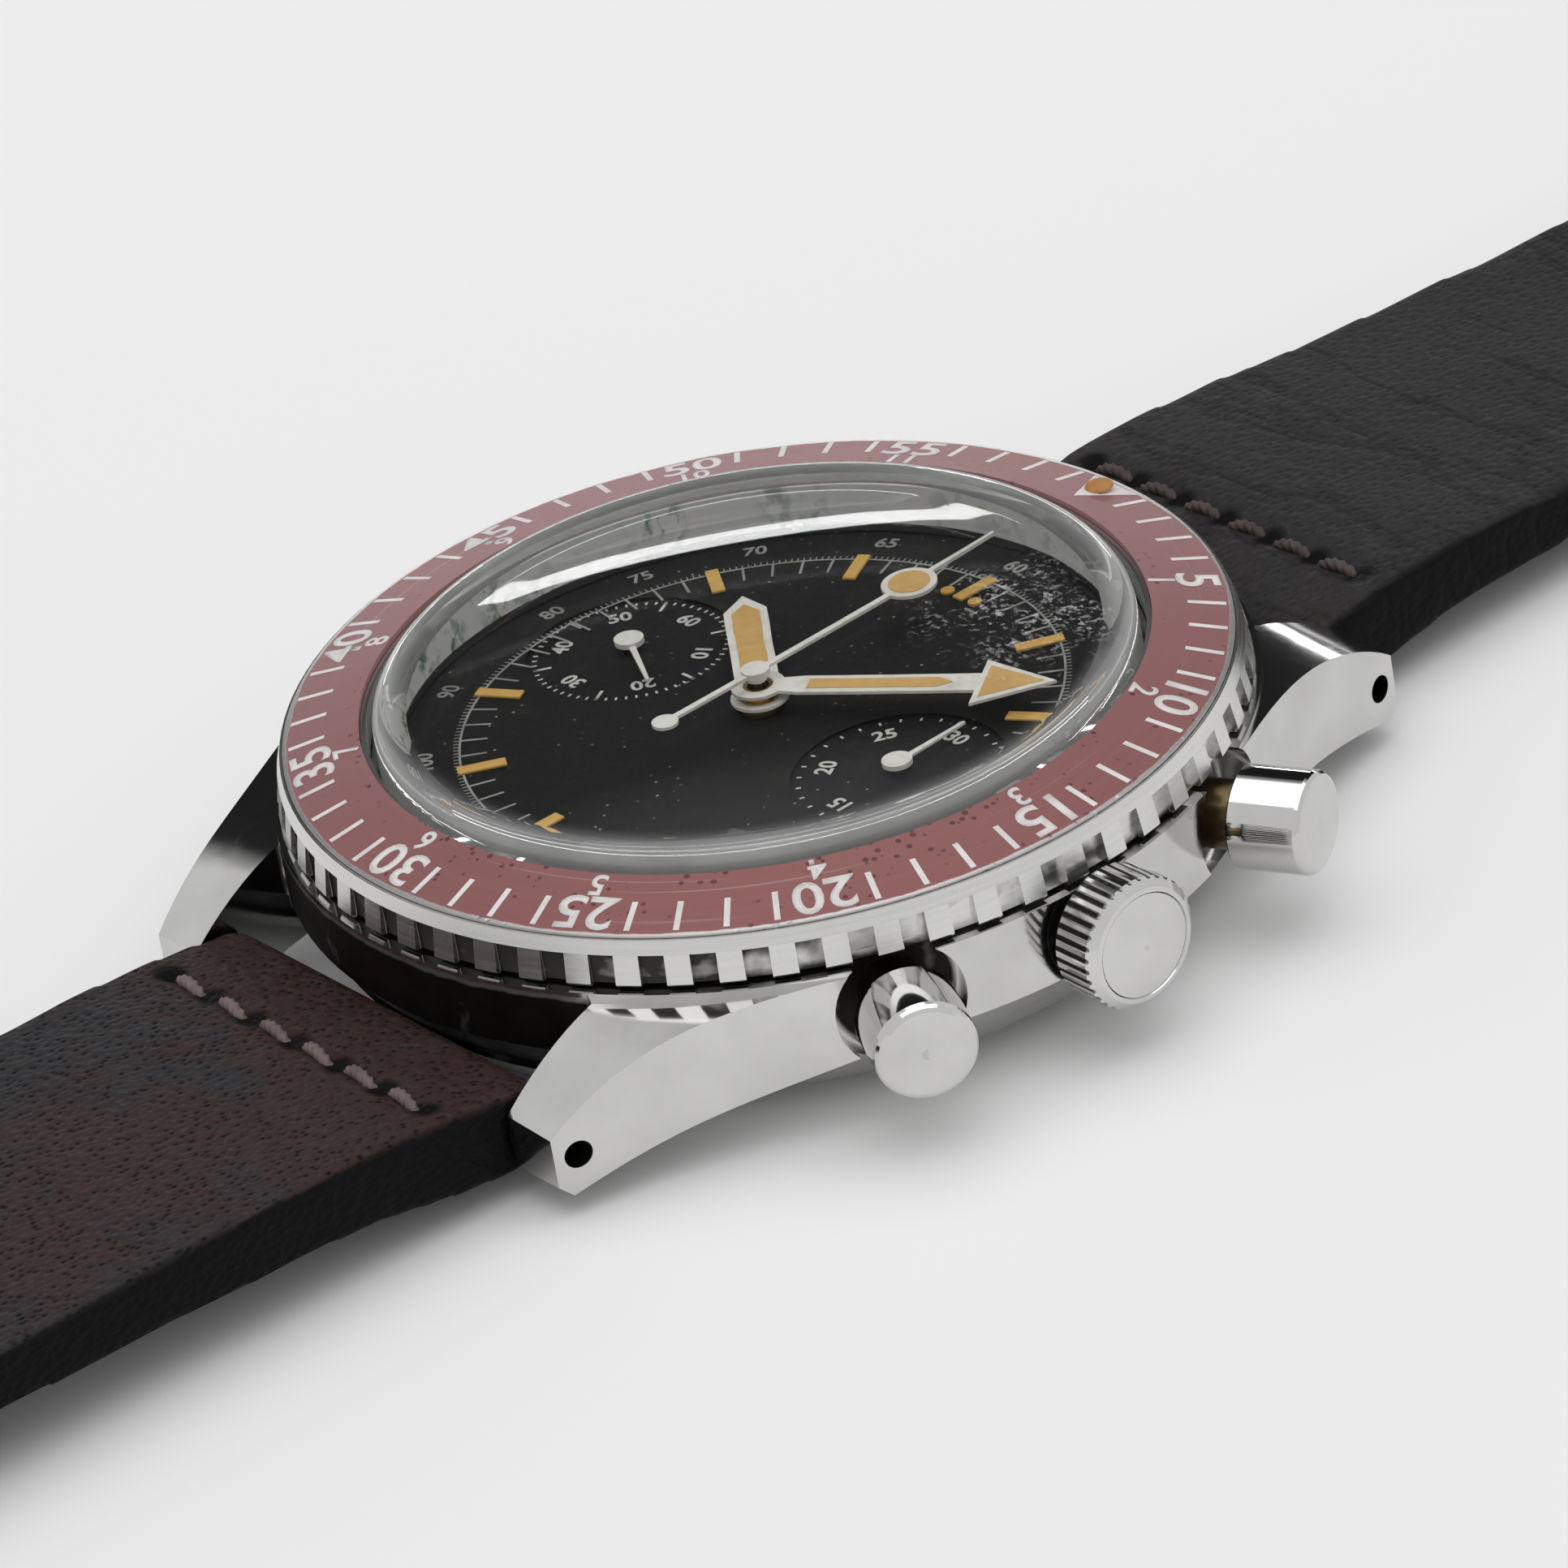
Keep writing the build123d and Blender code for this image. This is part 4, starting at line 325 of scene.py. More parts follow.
def bezel_steel():
    """Brushed steel with grime in the notches and under the edge."""
    material, shader, at = new_material("bezel_steel")
    x, y, z = at.place()
    radius = (x ** 2.0 + y ** 2.0) ** 0.5
    around = at.maths("ARCTAN2", y, x) * (19.6 * MM)
    ring_place = at.node("CombineXYZ", {}, {"X": around, "Y": z, "Z": 0.0})
    brush = at.noise(900.0, 3.0, (0.12, 6.0, 1.0), ring_place)
    blotch = at.noise(520.0, 4.0)
    fine = at.noise(1700.0, 3.0)
    floor = (1.0 - radius.steps(NOTCH_FLOOR_R, NOTCH_FLOOR_R + 0.06 * MM)) * (
        1.0 - z.steps(NOTCH_TOP_Z - 0.05 * MM, NOTCH_TOP_Z)
    )
    worn = at.noise(260.0, 2.0).steps(0.46, 0.56)
    never_rubbed = 1.0 - y.steps(-17.0 * MM, -6.0 * MM)
    filled = floor * (never_rubbed * 0.62 + worn * 0.24 + blotch * 0.34)
    skirt = (1.0 - z.steps(7.1 * MM, 7.45 * MM)) * blotch
    dirt = (filled + skirt * 0.8 - fine * 0.3).steps(0.24, 0.62)
    bright = brush.blend((0.62, 0.615, 0.6, 1.0), (0.8, 0.795, 0.78, 1.0))
    feed(
        material, shader,
        Base_Color=dirt.blend(bright, (0.03, 0.027, 0.024, 1.0)),
        Metallic=1.0 - dirt * 0.7,
        Roughness=0.2 + brush * 0.12 + dirt * 0.4,
        Normal=at.bump(brush * 3.0e-6 + dirt * fine * 3.0e-5, 1.0),
    )
    return material


paint(bezel_steel(), nodes["bezel_ring"])


# ---------------------------------------------------------------- bezel insert
# A thin anodised aluminium cone pressed into the ring. The burgundy has faded, is
# rubbed bare along the outer edge, and is pitted where water stood by the crystal.

INSERT_IN_R = 16.0 * MM
INSERT_IN_Z = 9.9 * MM
INSERT_FALL = 0.238
BEZEL_TURN = -1.5


def insert_anodising():
    """Faded burgundy with bare edges, pits and turning scratches."""
    material, shader, at = new_material("insert_anodising")
    x, y, z = at.place()
    radius = (x ** 2.0 + y ** 2.0) ** 0.5
    around = at.maths("ARCTAN2", y, x) * (17.6 * MM)
    ring_place = at.node("CombineXYZ", {}, {"X": around, "Y": radius, "Z": 0.0})
    cloud = at.noise(150.0, 5.0)
    grain = at.noise(2600.0, 3.0)
    turning = at.noise(700.0, 3.0, (0.05, 5.0, 1.0), ring_place)
    scratch = at.noise(420.0, 2.0, (0.06, 7.0, 1.0), ring_place).steps(0.66, 0.72)
    # the crown side kept more of its colour
    kept = (x * (1.0 / (16.0 * MM)) - y * (0.6 / (16.0 * MM))).steps(-0.2, 1.1)
    faded = (0.30, 0.145, 0.150, 1.0)
    deep = (0.25, 0.088, 0.086, 1.0)
    red = (kept * 0.8 + cloud * 0.5 - 0.15).steps(0.0, 1.0).blend(faded, deep)
    red = (turning.steps(0.35, 0.75) * 0.16).blend(red, (0.33, 0.17, 0.17, 1.0))
    inner = 1.0 - radius.steps(16.3 * MM, 17.3 * MM)
    cells = at.cells(2100.0)
    spots = at.noise(430.0, 4.0).steps(0.44, 0.56)
    pits = (1.0 - cells.steps(0.16, 0.30)) * spots * (0.4 + inner * 0.6) * (0.35 + kept)
    pits = pits.steps(0.12, 0.5)
    red = (pits * 0.85).blend(red, (0.08, 0.022, 0.022, 1.0))
    ragged = radius + (cloud - 0.5) * (0.5 * MM) + (grain - 0.5) * (0.10 * MM)
    bare = (ragged.steps(19.03 * MM, 19.10 * MM) + scratch * 0.22).steps(0.0, 1.0)
    feed(
        material, shader,
        Base_Color=bare.blend(red, (0.62, 0.60, 0.59, 1.0)),
        Metallic=0.25 + bare * 0.65,
        Roughness=0.42 - bare * 0.12 + grain * 0.12,
        Normal=at.bump(grain * 1.2e-6 - pits * 1.6e-5 + turning * 1.5e-6 - bare * 3.0e-6, 1.0),
    )
    return material


paint(insert_anodising(), nodes["bezel_insert"])


# ---------------------------------------------------------------- scale on the insert
# The scale is cut through the anodising and filled with white: minute strokes with a
# numeral at every fifth, small hour numerals inside, and a triangle at twelve.

TICK_OUT_R = 18.94 * MM
TICK_IN_R = 17.43 * MM
TICK_W = 0.24 * MM
NUMERAL_H = 1.74 * MM
HOUR_NUMERAL_R = 16.63 * MM
HOUR_NUMERAL_H = 1.08 * MM
TRIANGLE_W = 2.7 * MM
TRIANGLE_TIP_R = 16.75 * MM
PRINT_T = 0.012 * MM


def cone_height(radius):
    """Height of the insert's face at a radius."""
    return INSERT_IN_Z - INSERT_FALL * (radius - INSERT_IN_R)


def flat_height(height):
    """A height that is the same everywhere, for print on a flat face."""
    return lambda radius: height


def patch(name, inner, outer, width, rows=1):
    """A flat stroke across a radius at twelve o'clock, cut into rows."""
    deselect_all()
    bpy.ops.mesh.primitive_plane_add(size=1.0)
    piece = bpy.context.object
    piece.name = name
    piece.data.transform(Matrix.Diagonal((width, outer - inner, 1.0, 1.0)))
    piece.data.transform(Matrix.Translation((0.0, (inner + outer) / 2, 0.0)))
    if rows > 1:
        bpy.ops.object.mode_set(mode="EDIT")
        bpy.ops.mesh.select_all(action="SELECT")
        bpy.ops.mesh.subdivide(number_cuts=rows - 1)
        bpy.ops.object.mode_set(mode="OBJECT")
    return piece


def numeral(text, height, radius, angle, weight=0.03, centre=(0.0, 0.0), widen=1.0):
    """A numeral as a flat mesh, its middle at a radius and a clockwise angle."""
    deselect_all()
    bpy.ops.object.text_add()
    piece = bpy.context.object
    piece.data.body = text
    piece.data.align_x = "CENTER"
    piece.data.offset = weight
    piece.data.resolution_u = 4
    bpy.ops.object.convert(target="MESH")
    piece = bpy.context.object
    xs = [corner.co.x for corner in piece.data.vertices]
    ys = [corner.co.y for corner in piece.data.vertices]
    size = height / (max(ys) - min(ys))
    middle = Matrix.Translation((-(min(xs) + max(xs)) / 2, -(min(ys) + max(ys)) / 2, 0.0))
    piece.data.transform(Matrix.Diagonal((size * widen, size, size, 1.0)) @ middle)
    at_angle = radians(-angle)
    piece.data.transform(Matrix.Rotation(at_angle, 4, "Z"))
    piece.data.transform(Matrix.Translation((
        centre[0] - radius * sin(at_angle), centre[1] + radius * cos(at_angle), 0.0,
    )))
    return piece


def copies_round(piece, angles, centre=(0.0, 0.0)):
    """Copies of a piece, each with its own mesh, turned clockwise about a centre."""
    made = []
    to_centre = Matrix.Translation((centre[0], centre[1], 0.0))
    for angle in angles:
        copy = piece.copy()
        copy.data = piece.data.copy()
        copy.data.transform(to_centre @ Matrix.Rotation(radians(-angle), 4, "Z"))
        bpy.context.scene.collection.objects.link(copy)
        made.append(copy)
    bpy.data.objects.remove(piece)
    return made


def join(pieces, name):
    """Join pieces into one, at the origin, unturned and unscaled."""
    deselect_all()
    for piece in pieces:
        piece.select_set(True)
    bpy.context.view_layer.objects.active = pieces[0]
    if len(pieces) > 1:
        bpy.ops.object.join()
    whole = bpy.context.object
    bpy.ops.object.transform_apply(location=True, rotation=True, scale=True)
    whole.name = name
    return whole


def lay_print(piece, height, thickness=PRINT_T):
    """Lay flat print on a surface whose height depends on the radius, and thicken it."""
    for corner in piece.data.vertices:
        corner.co.z = height(hypot(corner.co.x, corner.co.y)) + 0.002 * MM
    deselect_all()
    piece.select_set(True)
    bpy.context.view_layer.objects.active = piece
    solid = piece.modifiers.new("thickness", "SOLIDIFY")
    solid.thickness = thickness
    solid.offset = 1.0
    bpy.ops.object.modifier_apply(modifier=solid.name)
    return piece


def print_paint(name, colour, wear, roughness=0.55, patchy=0.0):
    """Old print or enamel: a little grime in it, slightly uneven."""
    material, shader, at = new_material(name)
    cloud = at.noise(700.0, 4.0)
    grain = at.noise(3200.0, 3.0)
    dark = tuple(channel * (1.0 - wear) for channel in colour[:3]) + (1.0,)
    tint = (cloud.steps(0.4, 0.75) * 0.8).blend(colour, dark)
    sockets = {
        "Base_Color": tint,
        "Roughness": roughness + grain * 0.15,
        "Normal": at.bump(grain * 4.0e-6, 1.0),
    }
    if patchy > 0.0:
        sockets["Alpha"] = (cloud * 0.6 + grain * 0.55).steps(patchy - 0.1, patchy)
    feed(material, shader, **sockets)
    return material


bezel_white = print_paint("bezel_white", (0.74, 0.71, 0.70, 1.0), 0.3)
strokes = patch("stroke", TICK_IN_R, TICK_OUT_R, TICK_W, 3)
minutes = [6.0 * minute for minute in range(60) if minute % 5]
scale_pieces = copies_round(strokes, minutes)
for five in range(1, 12):
    scale_pieces.append(numeral(
        str(5 * five), NUMERAL_H, TICK_OUT_R - NUMERAL_H / 2, 30.0 * five, 0.018,
        widen=1.1,
    ))
    scale_pieces.append(numeral(str(five), HOUR_NUMERAL_H, HOUR_NUMERAL_R, 30.0 * five, 0.02))
deselect_all()
bpy.ops.mesh.primitive_circle_add(vertices=3, radius=1.0, fill_type="NGON")
triangle = bpy.context.object
triangle_corners = ((-TRIANGLE_W / 2, TICK_OUT_R), (TRIANGLE_W / 2, TICK_OUT_R), (0.0, TRIANGLE_TIP_R))
for corner, place in zip(triangle.data.vertices, triangle_corners):
    corner.co = (*place, 0.0)
triangle.data.flip_normals()
scale_pieces.append(triangle)
bezel_scale = join(scale_pieces, "bezel_scale")
bezel_scale.data.transform(Matrix.Rotation(radians(BEZEL_TURN), 4, "Z"))
lay_print(bezel_scale, cone_height)
paint(bezel_white, bezel_scale)
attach(bezel_scale, "bezel")


# ---------------------------------------------------------------- pip
# A drop of luminous paint in a small cup on the triangle, gone amber with age.

def luminous_paint(name, fresh, burnt):
    """Grainy luminous paint that has darkened unevenly."""
    material, shader, at = new_material(name)
    cloud = at.noise(420.0, 4.0)
    grain = at.noise(2400.0, 4.0)
    feed(
        material, shader,
        Base_Color=(cloud * 0.6 + grain * 0.5).steps(0.3, 0.85).blend(fresh, burnt),
        Roughness=0.62 + grain * 0.2,
        Normal=at.bump(grain * 1.4e-5, 1.0),
    )
    return material


PIP_R = 0.6 * MM
PIP_FLATNESS = 0.35
pip_low, pip_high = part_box("bezel_pip")
pip_middle = (pip_low + pip_high) / 2
deselect_all()
bpy.ops.mesh.primitive_uv_sphere_add(segments=32, ring_count=16, radius=PIP_R)
pip = bpy.context.object
bpy.ops.object.mode_set(mode="EDIT")
bpy.ops.mesh.select_all(action="SELECT")
bpy.ops.mesh.bisect(plane_co=(0, 0, 0), plane_no=(0, 0, 1), clear_inner=True, use_fill=True)
bpy.ops.object.mode_set(mode="OBJECT")
pip_place = Matrix.Translation((pip_middle.x, pip_middle.y, pip_low.z))
pip.data.transform(pip_place @ Matrix.Diagonal((1, 1, PIP_FLATNESS, 1)))
pip.name = "pip_drop"
paint(luminous_paint("pip_lume", (0.45, 0.22, 0.06, 1.0), (0.28, 0.11, 0.03, 1.0)), pip)
bpy.ops.object.shade_smooth_by_angle(angle=radians(40))
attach(pip, "bezel")
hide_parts("bezel_pip")


# ---------------------------------------------------------------- crystal and tension ring
# A domed acrylic crystal snapped into the case over a steel ring whose near-white colour is
# a painted reflection. Its top is hazed by fine scratches, with a few deeper ones, and green salts sit at
# its foot.

SCUFF_X = 7.5 * MM
SCUFF_Y = 8.5 * MM
SCUFF_IN_R = 1.5 * MM
SCUFF_OUT_R = 5.5 * MM
WALL_R = (13.9 * MM, 15.3 * MM)


def acrylic():
    """Clear acrylic that lets the lamps through, with fine scratches and dust."""
    material, shader, at = new_material("acrylic")
    fine = at.noise(1300.0, 3.0, (1.0, 0.06, 1.0)).steps(0.68, 0.76)
    other = at.noise(1500.0, 3.0, (0.07, 1.0, 1.0)).steps(0.69, 0.77)
    haze = at.noise(160.0, 3.0).steps(0.5, 0.75)
    scratches = (fine + other) * haze
    feed(
        material, shader,
        Base_Color=(0.985, 0.99, 0.985, 1.0),
        Roughness=0.012 + scratches * 0.05,
        IOR=1.49,
        Transmission_Weight=1.0,
        Normal=at.bump(scratches * -6.0e-7, 1.0),
    )
    # the wall and shoulder have gone milky with handling
    x, y, z = at.place()
    radius = (x ** 2.0 + y ** 2.0) ** 0.5
    milky = (radius.steps(*WALL_R) ** 2.0) * (0.30 + haze * 0.12)
    # a scuffed patch stands over the dial beside twelve
    off_scuff = ((x - SCUFF_X) ** 2.0 + (y - SCUFF_Y) ** 2.0) ** 0.5
    chips = at.noise(3600.0, 4.0).steps(0.54, 0.62) * at.noise(480.0, 4.0).steps(0.46, 0.62)
    milky = milky + chips * (1.0 - off_scuff.steps(SCUFF_IN_R, SCUFF_OUT_R)) * 0.38
    frost = at.node("BsdfDiffuse", {}, {"Color": (0.86, 0.87, 0.86, 1.0)})
    body = at.node("MixShader", {}, {0: milky, 1: Pattern(at.tree, shader.outputs[0]), 2: frost})
    output = material.node_tree.nodes["Material Output"]
    clear = at.node("BsdfTransparent", {}, {"Color": (0.93, 0.94, 0.93, 1.0)})
    lamps = at.node("LightPath", output="Is Shadow Ray")
    seen = at.node("MixShader", {}, {0: lamps, 1: body, 2: clear})
    material.node_tree.links.new(seen.socket, output.inputs["Surface"])
    return material


paint(acrylic(), nodes["crystal"])


def ring_steel():
    """Turned steel painted near white as a painted reflection, with green salts along its edge."""
    material, shader, at = new_material("ring_steel")
    grain = at.noise(1500.0, 4.0)
    patches = at.noise(170.0, 3.0).steps(0.47, 0.60)
    salts = (grain.steps(0.48, 0.58)) * patches
    feed(
        material, shader,
        # the near-white, mostly non-metallic base is a painted reflection: it stands in for the bright light
        # the polished ring reflects
        Base_Color=salts.blend((0.90, 0.90, 0.89, 1.0), (0.06, 0.13, 0.05, 1.0)),
        Metallic=0.35 - salts * 0.35,
        Roughness=0.36 + salts * 0.4,
        Normal=at.bump(salts * grain * 4.0e-5, 1.0),
    )
    return material


paint(ring_steel(), nodes["tension_ring"])


# ---------------------------------------------------------------- dial
# Matt black lacquer on brass with two sunk registers. White print gives the minute
# track and the scales, and thick luminous bars stand at the hours. Dust lies on it.

DIAL_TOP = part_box("dial")[1].z
REGISTER_X = 8.5 * MM
REGISTER_FLOOR = DIAL_TOP - 0.12 * MM
TRACK_R = 12.35 * MM
TRACK_W = 0.09 * MM
MINUTE_TICK = 1.15 * MM
SPEED_R = 13.75 * MM
SPEED_H = 0.78 * MM
SPEEDS = (60, 65, 70, 75, 80, 90, 100, 110, 120, 140, 160, 200, 250, 300, 400)
REGISTER_TICK_OUT_R = 4.12 * MM
REGISTER_NUMERAL_R = 3.1 * MM
BAR_IN_R = 10.5 * MM
BAR_OUT_R = 12.5 * MM
BAR_W = 0.58 * MM
BAR_T = 0.14 * MM


def dial_lacquer():
    """Matt black lacquer with pale dust and faint spotting."""
    material, shader, at = new_material("dial_lacquer")
    dust = at.cells(1500.0)
    thick = at.noise(230.0, 4.0)
    specks = (1.0 - dust.steps(0.05, 0.12)) * thick.steps(0.40, 0.62)
    spots = at.noise(800.0, 4.0).steps(0.60, 0.78)
    grain = at.noise(4000.0, 3.0)
    black = spots.blend((0.0045, 0.0045, 0.0045, 1.0), (0.014, 0.013, 0.012, 1.0))
    feed(
        material, shader,
        Base_Color=(specks * 0.8).blend(black, (0.5, 0.48, 0.44, 1.0)),
        Roughness=0.5 + grain * 0.2,
        Specular_IOR_Level=0.2,
        Normal=at.bump(grain * 3.0e-6 + specks * 1.0e-5, 1.0),
    )
    return material


paint(dial_lacquer(), nodes["dial"])

dial_white = print_paint("dial_white", (0.34, 0.335, 0.32, 1.0), 0.6, 0.6)
REGISTER_AT = {"seconds": (-REGISTER_X, 0.0), "minutes": (REGISTER_X, 0.0)}


def thin_ring(radius, width, centre=(0.0, 0.0), sides=180):
    """A flat ring of a given line width."""
    deselect_all()
    bpy.ops.mesh.primitive_circle_add(vertices=sides, radius=radius, location=(*centre, 0.0))
    piece = bpy.context.object
    bpy.ops.object.transform_apply(location=True)
    bpy.ops.object.mode_set(mode="EDIT")
    bpy.ops.mesh.select_all(action="SELECT")
    bpy.ops.mesh.extrude_edges_move()
    bpy.ops.transform.resize(
        value=((radius - width) / radius,) * 3, center_override=(*centre, 0.0),
    )
    bpy.ops.mesh.select_all(action="SELECT")
    bpy.ops.mesh.normals_make_consistent(inside=False)
    bpy.ops.object.mode_set(mode="OBJECT")
    if piece.data.polygons[0].normal.z < 0:
        piece.data.flip_normals()
    return piece


dial_print = [thin_ring(TRACK_R, TRACK_W)]
dial_print += copies_round(
    patch("minute", TRACK_R - MINUTE_TICK, TRACK_R - TRACK_W / 2, 0.11 * MM),
    [6.0 * minute for minute in range(60) if minute % 5 or minute in (15, 45)],
)
dial_print += copies_round(
    patch("fifth", TRACK_R, TRACK_R + 0.22 * MM, 0.05 * MM),
    [1.2 * fifth for fifth in range(300)],
)
for speed in SPEEDS:
    dial_print.append(numeral(str(speed), SPEED_H, SPEED_R, 360.0 * 60 / speed, 0.02))
dial_print = lay_print(join(dial_print, "dial_print"), flat_height(DIAL_TOP))
paint(dial_white, dial_print)
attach(dial_print, "case")

register_print = []
for name, centre in REGISTER_AT.items():
    step = 10 if name == "seconds" else 5
    ticks = 60 if name == "seconds" else 30
    register_print += copies_round(
        patch("small", 3.92 * MM, REGISTER_TICK_OUT_R, 0.09 * MM),
        [360.0 * tick / ticks for tick in range(ticks)], centre,
    )
    if name == "seconds":
        register_print += copies_round(
            patch("long", 3.35 * MM, REGISTER_TICK_OUT_R, 0.13 * MM),
            [30.0 + 60.0 * tick for tick in range(6)], centre,
        )
    for index in range(1, 7):
        register_print.append(numeral(
            str(step * index), SPEED_H, REGISTER_NUMERAL_R, 60.0 * index, 0.025, centre,
        ))
register_print = lay_print(join(register_print, "register_print"), flat_height(REGISTER_FLOOR))
paint(print_paint("register_white", (0.66, 0.65, 0.62, 1.0), 0.45, 0.6), register_print)
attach(register_print, "case")


def raised_bar(length, width, thickness, middle_r):
    """A block of luminous paint at twelve, with softened edges."""
    deselect_all()
    bpy.ops.mesh.primitive_cube_add(size=1.0)
    piece = bpy.context.object
    piece.data.transform(Matrix.Diagonal((width, length, thickness, 1.0)))
    bpy.ops.object.mode_set(mode="EDIT")
    bpy.ops.mesh.select_all(action="SELECT")
    bpy.ops.mesh.bevel(offset=thickness * 0.3, segments=3, affect="EDGES")
    bpy.ops.object.mode_set(mode="OBJECT")
    piece.data.transform(Matrix.Translation((0.0, middle_r, DIAL_TOP + thickness * 0.45)))
    return piece


bar = raised_bar(BAR_OUT_R - BAR_IN_R, BAR_W, BAR_T, (BAR_IN_R + BAR_OUT_R) / 2)
hour_bars = copies_round(bar, [30.0 * hour for hour in (0, 1, 2, 4, 5, 6, 7, 8, 10, 11)])
for side in (-1, 1):
    deselect_all()
    bpy.ops.mesh.primitive_cylinder_add(
        vertices=24, radius=0.3 * MM, depth=BAR_T,
        location=(side * 0.85 * MM, BAR_IN_R + 0.25 * MM, DIAL_TOP + BAR_T * 0.45),
    )
    bpy.ops.object.mode_set(mode="EDIT")
    bpy.ops.mesh.select_all(action="SELECT")
    bpy.ops.mesh.bevel(offset=BAR_T * 0.25, segments=2, affect="EDGES")
    bpy.ops.object.mode_set(mode="OBJECT")
    hour_bars.append(bpy.context.object)
hour_bars = join(hour_bars, "hour_bars")
bpy.ops.object.shade_smooth_by_angle(angle=radians(35))
paint(luminous_paint("dial_lume", (0.68, 0.43, 0.115, 1.0), (0.5, 0.28, 0.06, 1.0)), hour_bars)
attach(hour_bars, "case")


# ---------------------------------------------------------------- hands
# Stamped steel hands painted off-white. The hour, minute and sweep hands are filled
# with luminous paint, which has gone amber and stands a little proud of them.

HOUR_ANGLE = 305.0
MINUTE_ANGLE = 54.5
SWEEP_ANGLE = 359.0


def hand_enamel():
    """Off-white paint with tiny chips and dirt."""
    material, shader, at = new_material("hand_enamel")
    grain = at.noise(2600.0, 4.0)
    cloud = at.noise(600.0, 3.0)
    feed(
        material, shader,
        Base_Color=(cloud * 0.5 + grain * 0.5).steps(0.45, 0.8).blend(
            (0.74, 0.72, 0.67, 1.0), (0.5, 0.47, 0.41, 1.0)
        ),
        Roughness=0.42 + grain * 0.2,
        Normal=at.bump(grain * 5.0e-6, 1.0),
    )
    return material


enamel = hand_enamel()
for name in ("hour_hand", "minute_hand", "chronograph_hand", "small_seconds_hand", "minute_counter_hand"):
    paint(enamel, nodes[name])

hand_lume = luminous_paint("hand_lume", (0.68, 0.43, 0.155, 1.0), (0.5, 0.29, 0.09, 1.0))


def inlay(name, outline, top, angle, body):
    """Luminous paint that fills a window of a hand, a little crowned."""
    deselect_all()
    bpy.ops.mesh.primitive_circle_add(vertices=len(outline), radius=1.0, fill_type="NGON")
    piece = bpy.context.object
    piece.name = name
    for corner, (across, along) in zip(piece.data.vertices, outline):
        corner.co = (across * MM, along * MM, top)
    bpy.ops.object.mode_set(mode="EDIT")
    bpy.ops.mesh.select_all(action="SELECT")
    bpy.ops.mesh.normals_make_consistent(inside=False)
    bpy.ops.mesh.extrude_region_move(TRANSFORM_OT_translate={"value": (0, 0, 0.035 * MM)})
    bpy.ops.mesh.inset(thickness=0.09 * MM, depth=0.03 * MM)
    bpy.ops.mesh.select_all(action="SELECT")
    bpy.ops.mesh.normals_make_consistent(inside=False)
    bpy.ops.object.mode_set(mode="OBJECT")
    piece.data.transform(Matrix.Rotation(radians(-angle), 4, "Z"))
    paint(hand_lume, piece)
    bpy.ops.object.shade_smooth_by_angle(angle=radians(35))
    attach(piece, body)
    return piece


hour_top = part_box("hour_hand")[1].z
minute_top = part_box("minute_hand")[1].z
inlay("hour_lume", [
    (-0.58, 1.0), (0.58, 1.0), (0.58, 7.1), (0.0, 7.85), (-0.58, 7.1),
], hour_top, HOUR_ANGLE, "hour_work")
inlay("minute_lume", [
    (-0.36, 2.1), (0.36, 2.1), (0.36, 7.5), (0.0, 8.1), (-0.36, 7.5),
], minute_top, MINUTE_ANGLE, "minute_work")
inlay("arrow_lume", [
    (-1.22, 9.4), (1.22, 9.4), (0.0, 11.85),
], minute_top, MINUTE_ANGLE, "minute_work")
sweep_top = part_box("chronograph_hand")[1].z - 0.1 * MM
disc_turns = [2 * pi * step / 32 for step in range(32)]
inlay("sweep_lume", [
    (0.86 * cos(turn), 8.3 + 0.86 * sin(turn)) for turn in disc_turns
], sweep_top, SWEEP_ANGLE, "sweep")


# ---------------------------------------------------------------- crown and pushers
# The crown is fluted, with a polished domed face; the pushers are mirror-polished
# caps on worn brass tubes. Dirt sits in the flutes and at the back of the caps.

FLUTE_IN_R = (2.3 * MM, 2.45 * MM)
FLUTE_OUT_R = (2.66 * MM, 2.72 * MM)
CROWN_FACE_X = (22.0 * MM, 22.3 * MM)


def crown_dirt(at):
    """One in the crown's flutes, nought on its face."""
    x, y, z = at.place()
    radius = (y ** 2.0 + (z - CROWN_Z) ** 2.0) ** 0.5
    flute = radius.steps(*FLUTE_IN_R) * (1.0 - radius.steps(*FLUTE_OUT_R))
    return flute * (1.0 - x.steps(*CROWN_FACE_X)) * 0.95


paint(polished_steel("crown_steel", STEEL, 0.11, 0.8, crown_dirt), nodes["crown"])
pusher_steel = polished_steel("pusher_steel", STEEL, 0.05, 0.5)
paint(pusher_steel, nodes["start_pusher"], nodes["reset_pusher"])


def old_brass(name, bright, dark, roughness):
    """Brass that has browned unevenly."""
    material, shader, at = new_material(name)
    cloud = at.noise(420.0, 4.0)
    grain = at.noise(1900.0, 3.0)
    feed(
        material, shader,
        Base_Color=cloud.steps(0.35, 0.7).blend(bright, dark),
        Metallic=1.0,
        Roughness=roughness + grain * 0.15,
        Normal=at.bump(grain * 6.0e-6, 1.0),
    )
    return material


tube_brass = old_brass("tube_brass", (0.32, 0.24, 0.12, 1.0), (0.07, 0.045, 0.02, 1.0), 0.25)
paint(tube_brass, nodes["pusher_tubes"], nodes["crown_tube"])


# ---------------------------------------------------------------- movement
# Gilt brass plates and wheels with a fine grained finish, ground steel levers,
# springs and screws. All of it is shut inside the case.

gilt = old_brass("gilt_brass", (0.72, 0.52, 0.25, 1.0), (0.58, 0.4, 0.18, 1.0), 0.22)
ground_steel = polished_steel("ground_steel", (0.6, 0.6, 0.6, 1.0), 0.22, 0.6)


